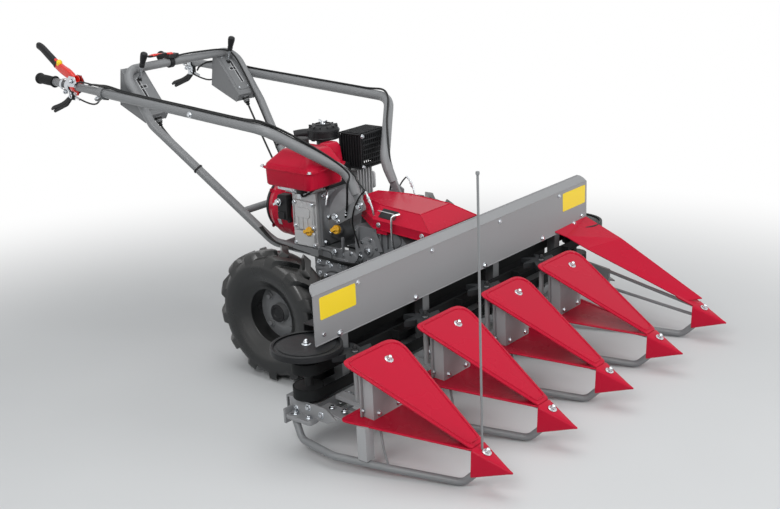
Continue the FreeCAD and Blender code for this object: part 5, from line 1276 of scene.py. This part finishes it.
class REAPER_OT_dividers(Operator):
    """Make the divider covers' rolled hems, pressed beads and nuts, and the pressed floors"""
    bl_idname = "reaper.dividers"
    bl_label = "Divider covers and floors"

    def execute(self, context):
        sizes = context.scene.reaper_sizes
        nuts, covers, spines, floors, seams = [], [], [], [], []
        inset, height = sizes.bead_inset * 1000, sizes.bead_height * 1000
        for y in DIVIDERS:
            middle_point, ahead, across, out = cover_frame(y)
            lay = lambda flat, lift=0.0: middle_point + flat[:, :1] * ahead + flat[:, 1:] * across + lift * out
            # cover: a pan whose middle stands up inside the bead, a rolled hem round it and the channel under it
            skin = [lay(cover_loop(drawn), lift) for drawn,
                    lift in ((inset + 9, 0.6), (inset + 4, 0.5), (inset + 2, 0.2), (3.0, -0.4),
                             (0.8, -1.4), (0.0, -3.0), (0.8, -5.4), (3.2, -5.6), (5.0, -3.6), (20.0, -3.2))]
            covers.append(between_poles(lay(POLE, 0.6), skin, lay(POLE, -3.2)))
            covers.append(closed_bead(circle(2.5, 12, height / 2.5), lay(cover_loop(inset), 0.4), out))
            spines.append(plate([(8, -50), (265, -23), (265, 23), (8, 50)], middle_point - 17.0 * out,
                                out, ahead, 14, 1.2))
            nuts.append(domed_nut(lay(np.array([(-12.0, 12.0)]), 0.2)[0], out, 14))
            # lower plate: a pressed pan with a rolled hem, on the arm
            rake = math.radians(3.5)
            fore, up = np.array((math.cos(rake), 0, -math.sin(rake))), np.array((math.sin(rake), 0, math.cos(rake)))
            base = np.array((640, y, 135.8))
            put = lambda flat, lift: base + flat[:, :1] * fore + flat[:, 1:] * across + lift * up
            loop = lambda drawn: cover_loop(drawn, -77.6, 275.0, 22.0, 66.0)
            rings = [put(loop(drawn), lift) for drawn, lift in (
                (14.0, 0.4), (10.0, 0.6), (8.0, 2.6), (3.0, 3.0), (0.0, 1.6), (0.0, -2.4), (14.0, -2.6))]
            floors.append(between_poles(put(POLE, 0.4), rings, put(POLE, -2.6)))
            floors.append(closed_bead(circle(3.0, 10), put(loop(1.0), 0.2), up))
            # channel's rear flanges, the slot and bolts that hold the cover's upright
            for at in (y - 66, y + 66):
                seams.append(block((594, at - 5, 140), (600, at + 5, 292), 1, 0.8))
                nuts += front_bolts(600, ((at, 158), (at, 262)), 7, 4)
        piece("pressed_covers", covers, "red_paint", crease=40, replaces=["divider_covers"])
        piece("cover_channels", spines, "grey_paint")
        piece("floor_pans", floors, "red_paint", crease=40, replaces=["divider_floors"])
        piece("upright_flanges", seams, "light_grey_paint")
        piece("cover_nuts", nuts, "zinc_plate")
        return {"FINISHED"}


class REAPER_OT_noses(Operator):
    """Make the pointed noses, one folded sheet each that narrows to the tip, with their domed nuts"""
    bl_idname = "reaper.noses"
    bl_label = "Divider noses"

    def execute(self, context):
        skins, nuts = [], []
        t = np.concatenate([[0, 0.012], np.linspace(0.03, 0.985, 14), [1.0]])
        # half width, top and underside run in straight lines to the tip; the sides lean in towards the top
        half, top, low = 36 - 33.6 * t, 122.5 - 44.5 * t, 48 + 26 * t
        half[0], half[-1] = 34.6, 1.4
        rear, long = 915, 103
        for y in NOSES:
            rings = []
            for share, wide, high, under in zip(t, half, top, low):
                tall = high - under
                loop = rounded(2 * wide, tall, min(5.5, 0.45 * min(2 * wide, tall)), 5)
                lean = 1 - 0.16 * np.clip(loop[:, 1] / tall + 0.5, 0, 1)
                crown = 3.0 * (1 - share) * np.clip(loop[:, 1] / tall + 0.2, 0, 1) * (1 - np.abs(loop[:, 0]) / wide)
                rings.append(np.column_stack([np.full(len(loop), rear + long * share), y + loop[:, 0] * lean,
                                              (high + under) / 2 + loop[:, 1] + crown - 1.2 * (1 - share)]))
            skins.append(capped(rings))
            nuts.append(domed_nut((942, y, 111.5), (0.393, 0, 0.92), 14))
        piece("nose_skins", skins, "red_paint", crease=34, replaces=["divider_noses"])
        piece("nose_nuts", nuts, "zinc_plate")
        return {"FINISHED"}


class REAPER_OT_stars(Operator):
    """Make the star wheels with curved arms that sweep the stalks in"""
    bl_idname = "reaper.stars"
    bl_label = "Star wheels"

    def execute(self, context):
        arms = 7
        turn = np.arange(arms * 20) * 2 * np.pi / (arms * 20)
        # outline: the reach rises along each arm and falls back steeply, which hooks it
        saw = (turn * arms / (2 * np.pi)) % 1
        reach = np.interp(saw, [0, 0.34, 0.62, 0.8, 0.9, 1], [30, 40, 60, 67.4, 46, 30])
        for index, y in enumerate(DIVIDERS):
            rings = []
            for z, share in ((265, 0.9), (267, 0.985), (269, 1), (279, 1), (281, 0.985), (283, 0.94)):
                out = 22 + (reach - 22) * share
                rings.append(np.stack([STAR_AXLE + out * np.cos(turn), y + out * np.sin(turn), np.full(len(turn), z)],
                                      -1))
            profile = [(0, -0.4), (19.6, -0.4), (19.6, 17), (17, 18.3), (9.5, 18.3), (0, 18.3)]
            wheel = f"star_wheel_{index + 1}"
            piece(f"star_blades_{index + 1}", [capped(rings), turned(profile, (STAR_AXLE, y, 265), UP, 40)],
                  "star_plastic", body=wheel, crease=40, replaces=[wheel])
        nuts = [domed_nut((STAR_AXLE, y, 289), UP, 12) for y in DIVIDERS]
        piece("star_nuts", nuts, "black_plastic")
        return {"FINISHED"}


class REAPER_OT_skids(Operator):
    """Make the marker pole, the skids' braces and feet, the header's shoes and the cutter bar's bolts and rivets"""
    bl_idname = "reaper.skids"
    bl_label = "Skids and cutter bar"

    def execute(self, context):
        rods = [rod([(690, y - 77, 26), (676, y - 76, 60), (660, y - 66, 96), (648, y - 58, 128)], 3.2, 10)
                for y in DIVIDERS]
        knob = turned([(0, -4), (4.4, -4), (5, 0), (4.4, 4), (0, 5)], (931, -600, 816), UP, 18)
        pole = joined(rod([(928, -600, 92), (931, -600, 818)], 3.1, 14), knob)
        piece("marker_pole", pole, "grey_paint", crease=40, replaces=["marker_rod"])
        piece("skid_braces", rods, "grey_paint")
        # feet that carry the skids' rear ends, side shoes of the cutter bar and their bolts
        feet, bolts = [], []
        for y in DIVIDERS:
            feet.append(block((366, y - 122, 96), (462, y - 84, 108), 10, 1.5))
            feet.append(block((366, y - 124, 82), (372, y - 82, 124), 1, 0.8))
            bolts += [hex_bolt((x, y - 103, 108), UP, 12, 6) for x in (392, 440)]
        wall = [(-70, -22), (66, -22), (96, -6), (60, 20), (-70, 26)]
        sole = [(-60, -16), (70, -26), (118, 0), (70, 22), (-60, 18)]
        feet.append(both(plate(wall, (430, -688, 124), TO_RIGHT, FORWARD, 5, 1),
                         plate(sole, (470, -660, 128), (0.1, 0, 1), FORWARD, 5, 1)))
        bolts.append(both(*side_bolts(-693, ((384, 118), (430, 132), (476, 122)), 12, 6),
                          *[hex_bolt((x, -660, 133), UP, 11, 6) for x in (440, 486, 530)]))
        piece("header_shoes", feet, "light_grey_paint")
        fingers = np.arange(-8, 9) * KNIFE_PITCH
        bolts += [hex_bolt((470, y, 120), UP, 10, 5) for y in fingers]
        piece("cutter_bar_bolts", bolts, "zinc_plate")
        rivets = [turned([(0, 0), (3.4, 0), (3, 1.2), (1.6, 2), (0, 2.2)], (506, y + s * 16, 125.2), UP, 10)
                  for y in fingers for s in (-1, 1)]
        piece("knife_rivets", rivets, "bare_steel", body="knife")
        return {"FINISHED"}


# ---------------------------------------------------------------- stage

CAMERA = (2.5883, -2.7644, 1.4901)


def lamp(name, place, aim, power, size):
    light = bpy.data.lights.new(name, "AREA")
    light.energy, light.size = power, size
    item = bpy.data.objects.new(name, light)
    item.location = place
    item.rotation_euler = (Vector(aim) - Vector(place)).to_track_quat("-Z", "Y").to_euler()
    bpy.context.scene.collection.objects.link(item)


class REAPER_OT_stage(Operator):
    """Make the pale floor, the white room, the lamps and the camera"""
    bl_idname = "reaper.stage"
    bl_label = "Stage"

    def execute(self, context):
        scene = context.scene
        sizes = scene.reaper_sizes
        # floor: a pale grey disc that fades into white; its shadow is kept because only its far part turns to plain
        # glow
        material = bpy.data.materials.new("studio_floor")
        material.use_nodes = True
        tree = material.node_tree
        tree.nodes.clear()
        place = add(tree, "TexCoord").outputs["Object"]
        moved = add(tree, "Mapping", {"Vector": place, "Location": (-0.8, 0.95, 0)}).outputs["Vector"]
        away = add(tree, "VectorMath", {0: moved}, operation="LENGTH")
        wide = add(tree, "MapRange", {"Value": away.outputs["Value"], "From Min": 1.5, "From Max": 3.3},
                   interpolation_type="SMOOTHSTEP")
        speck = add(tree, "TexNoise", {"Vector": place, "Scale": per_metre(300), "Detail": 2.0})
        floor = scene.reaper_colours.floor
        grain = mixed(tree, speck.outputs["Fac"], shade(floor, 0.985), shade(floor, 1.015))
        fade = mixed(tree, wide.outputs["Result"], grain, (1, 1, 1, 1))
        matt = add(tree, "BsdfDiffuse", {"Color": fade})
        glow = add(tree, "Emission", {"Color": fade, "Strength": 1.0})
        blend = add(tree, "MixShader",
                    {0: wide.outputs["Result"], 1: matt.outputs["BSDF"], 2: glow.outputs["Emission"]})
        add(tree, "OutputMaterial", {"Surface": blend.outputs["Shader"]})
        half = 30.0
        mesh = bpy.data.meshes.new("studio_floor")
        mesh.from_pydata([(-half, -half, -0.001), (half, -half, -0.001), (half, half, -0.001), (-half, half, -0.001)],
                         [], [(0, 1, 2, 3)])
        mesh.materials.append(material)
        item = bpy.data.objects.new("studio_floor", mesh)
        scene.collection.objects.link(item)
        # white room seen by the camera and in glossy surfaces; a softer one lights the machine
        world = bpy.data.worlds.new("studio_room")
        scene.world = world
        world.use_nodes = True
        tree = world.node_tree
        tree.nodes.clear()
        path = add(tree, "LightPath")
        mirrored_too = add(tree, "Math", {0: path.outputs["Is Glossy Ray"], 1: path.outputs["Is Transmission Ray"]},
                           operation="MAXIMUM")
        seen = add(tree, "Math", {0: path.outputs["Is Camera Ray"], 1: mirrored_too.outputs["Value"]},
                   operation="MAXIMUM")
        white = add(tree, "Background", {"Color": (1, 1, 1, 1), "Strength": 1.0})
        # what lights the machine softly: brighter above than low down, so that tubes and sheet show their shape
        ways = add(tree, "SeparateXYZ", {0: add(tree, "TexCoord").outputs["Generated"]})
        high = add(tree, "MapRange", {"Value": ways.outputs["Z"], "From Min": -0.3, "From Max": 0.8, "To Min": 0.10,
                                      "To Max": 0.34}, interpolation_type="SMOOTHSTEP")
        soft = add(tree, "Background", {"Color": (0.97, 0.985, 1, 1), "Strength": high.outputs["Result"]})
        both_ways = add(tree, "MixShader", {0: seen.outputs["Value"], 1: soft.outputs["Background"],
                                            2: white.outputs["Background"]})
        add(tree, "OutputWorld", {"Surface": both_ways.outputs["Shader"]})
        # one wide soft lamp overhead, a smaller key from the near side and a low fill in front
        lamp("overhead", (0.2, -0.4, 3.4), (0, 0, 0.3), 38, 2.4)
        lamp("key", (1.6, -3.2, 2.6), (0.1, 0, 0.4), 55, 1.5)
        lamp("front_fill", (3.6, 0.6, 1.5), (0.3, 0, 0.3), 46, 2.0)
        eye = bpy.data.cameras.new("view")
        eye.sensor_width, eye.lens = 36.0, sizes.lens * 1000
        eye.clip_start, eye.clip_end = 0.05, 100
        camera = bpy.data.objects.new("view", eye)
        scene.collection.objects.link(camera)
        az, el, roll = sizes.azimuth, sizes.elevation, sizes.roll
        ahead = Vector((-math.sin(az) * math.cos(el), math.cos(az) * math.cos(el), -math.sin(el)))
        side = ahead.cross(Vector(UP)).normalized()
        rise = side.cross(ahead)
        across = math.cos(roll) * side + math.sin(roll) * rise
        upward = -math.sin(roll) * side + math.cos(roll) * rise
        camera.matrix_world = Matrix.Translation(CAMERA) @ Matrix((across, upward, -ahead)).transposed().to_4x4()
        scene.camera = camera
        scene.view_settings.view_transform = "Standard"
        return {"FINISHED"}


# ---------------------------------------------------------------- add-on

PIECES = (REAPER_OT_finishes, REAPER_OT_tyres, REAPER_OT_wheels, REAPER_OT_fuel_tank,
          REAPER_OT_engine_side, REAPER_OT_starter, REAPER_OT_engine_top, REAPER_OT_gearbox,
          REAPER_OT_hood, REAPER_OT_handlebars, REAPER_OT_grips, REAPER_OT_levers,
          REAPER_OT_handle_bolts, REAPER_OT_cables, REAPER_OT_throttle, REAPER_OT_consoles, REAPER_OT_panel,
          REAPER_OT_belts, REAPER_OT_dividers, REAPER_OT_noses, REAPER_OT_stars, REAPER_OT_skids, REAPER_OT_stage)


class REAPER_PT_parts(Panel):
    """List of the machine's pieces in the 3D view's sidebar"""
    bl_idname = "REAPER_PT_parts"
    bl_label = "Walk-behind reaper"
    bl_space_type = "VIEW_3D"
    bl_region_type = "UI"
    bl_category = "Reaper"

    def draw(self, context):
        column = self.layout.column()
        for group in (context.scene.reaper_sizes, context.scene.reaper_colours):
            for name in group.bl_rna.properties.keys():
                if name not in ("rna_type", "name"):
                    column.prop(group, name)
        for operator in PIECES:
            column.operator(operator.bl_idname)


CLASSES = (ReaperColours, ReaperSizes, *PIECES, REAPER_PT_parts)


def register():
    for item in CLASSES:
        bpy.utils.register_class(item)
    bpy.types.Scene.reaper_colours = PointerProperty(type=ReaperColours)
    bpy.types.Scene.reaper_sizes = PointerProperty(type=ReaperSizes)


def unregister():
    del bpy.types.Scene.reaper_sizes
    del bpy.types.Scene.reaper_colours
    for item in reversed(CLASSES):
        bpy.utils.unregister_class(item)


def main():
    register()
    for operator in PIECES:
        group, name = operator.bl_idname.split(".")
        getattr(getattr(bpy.ops, group), name)()


if __name__ == "__main__":
    main()
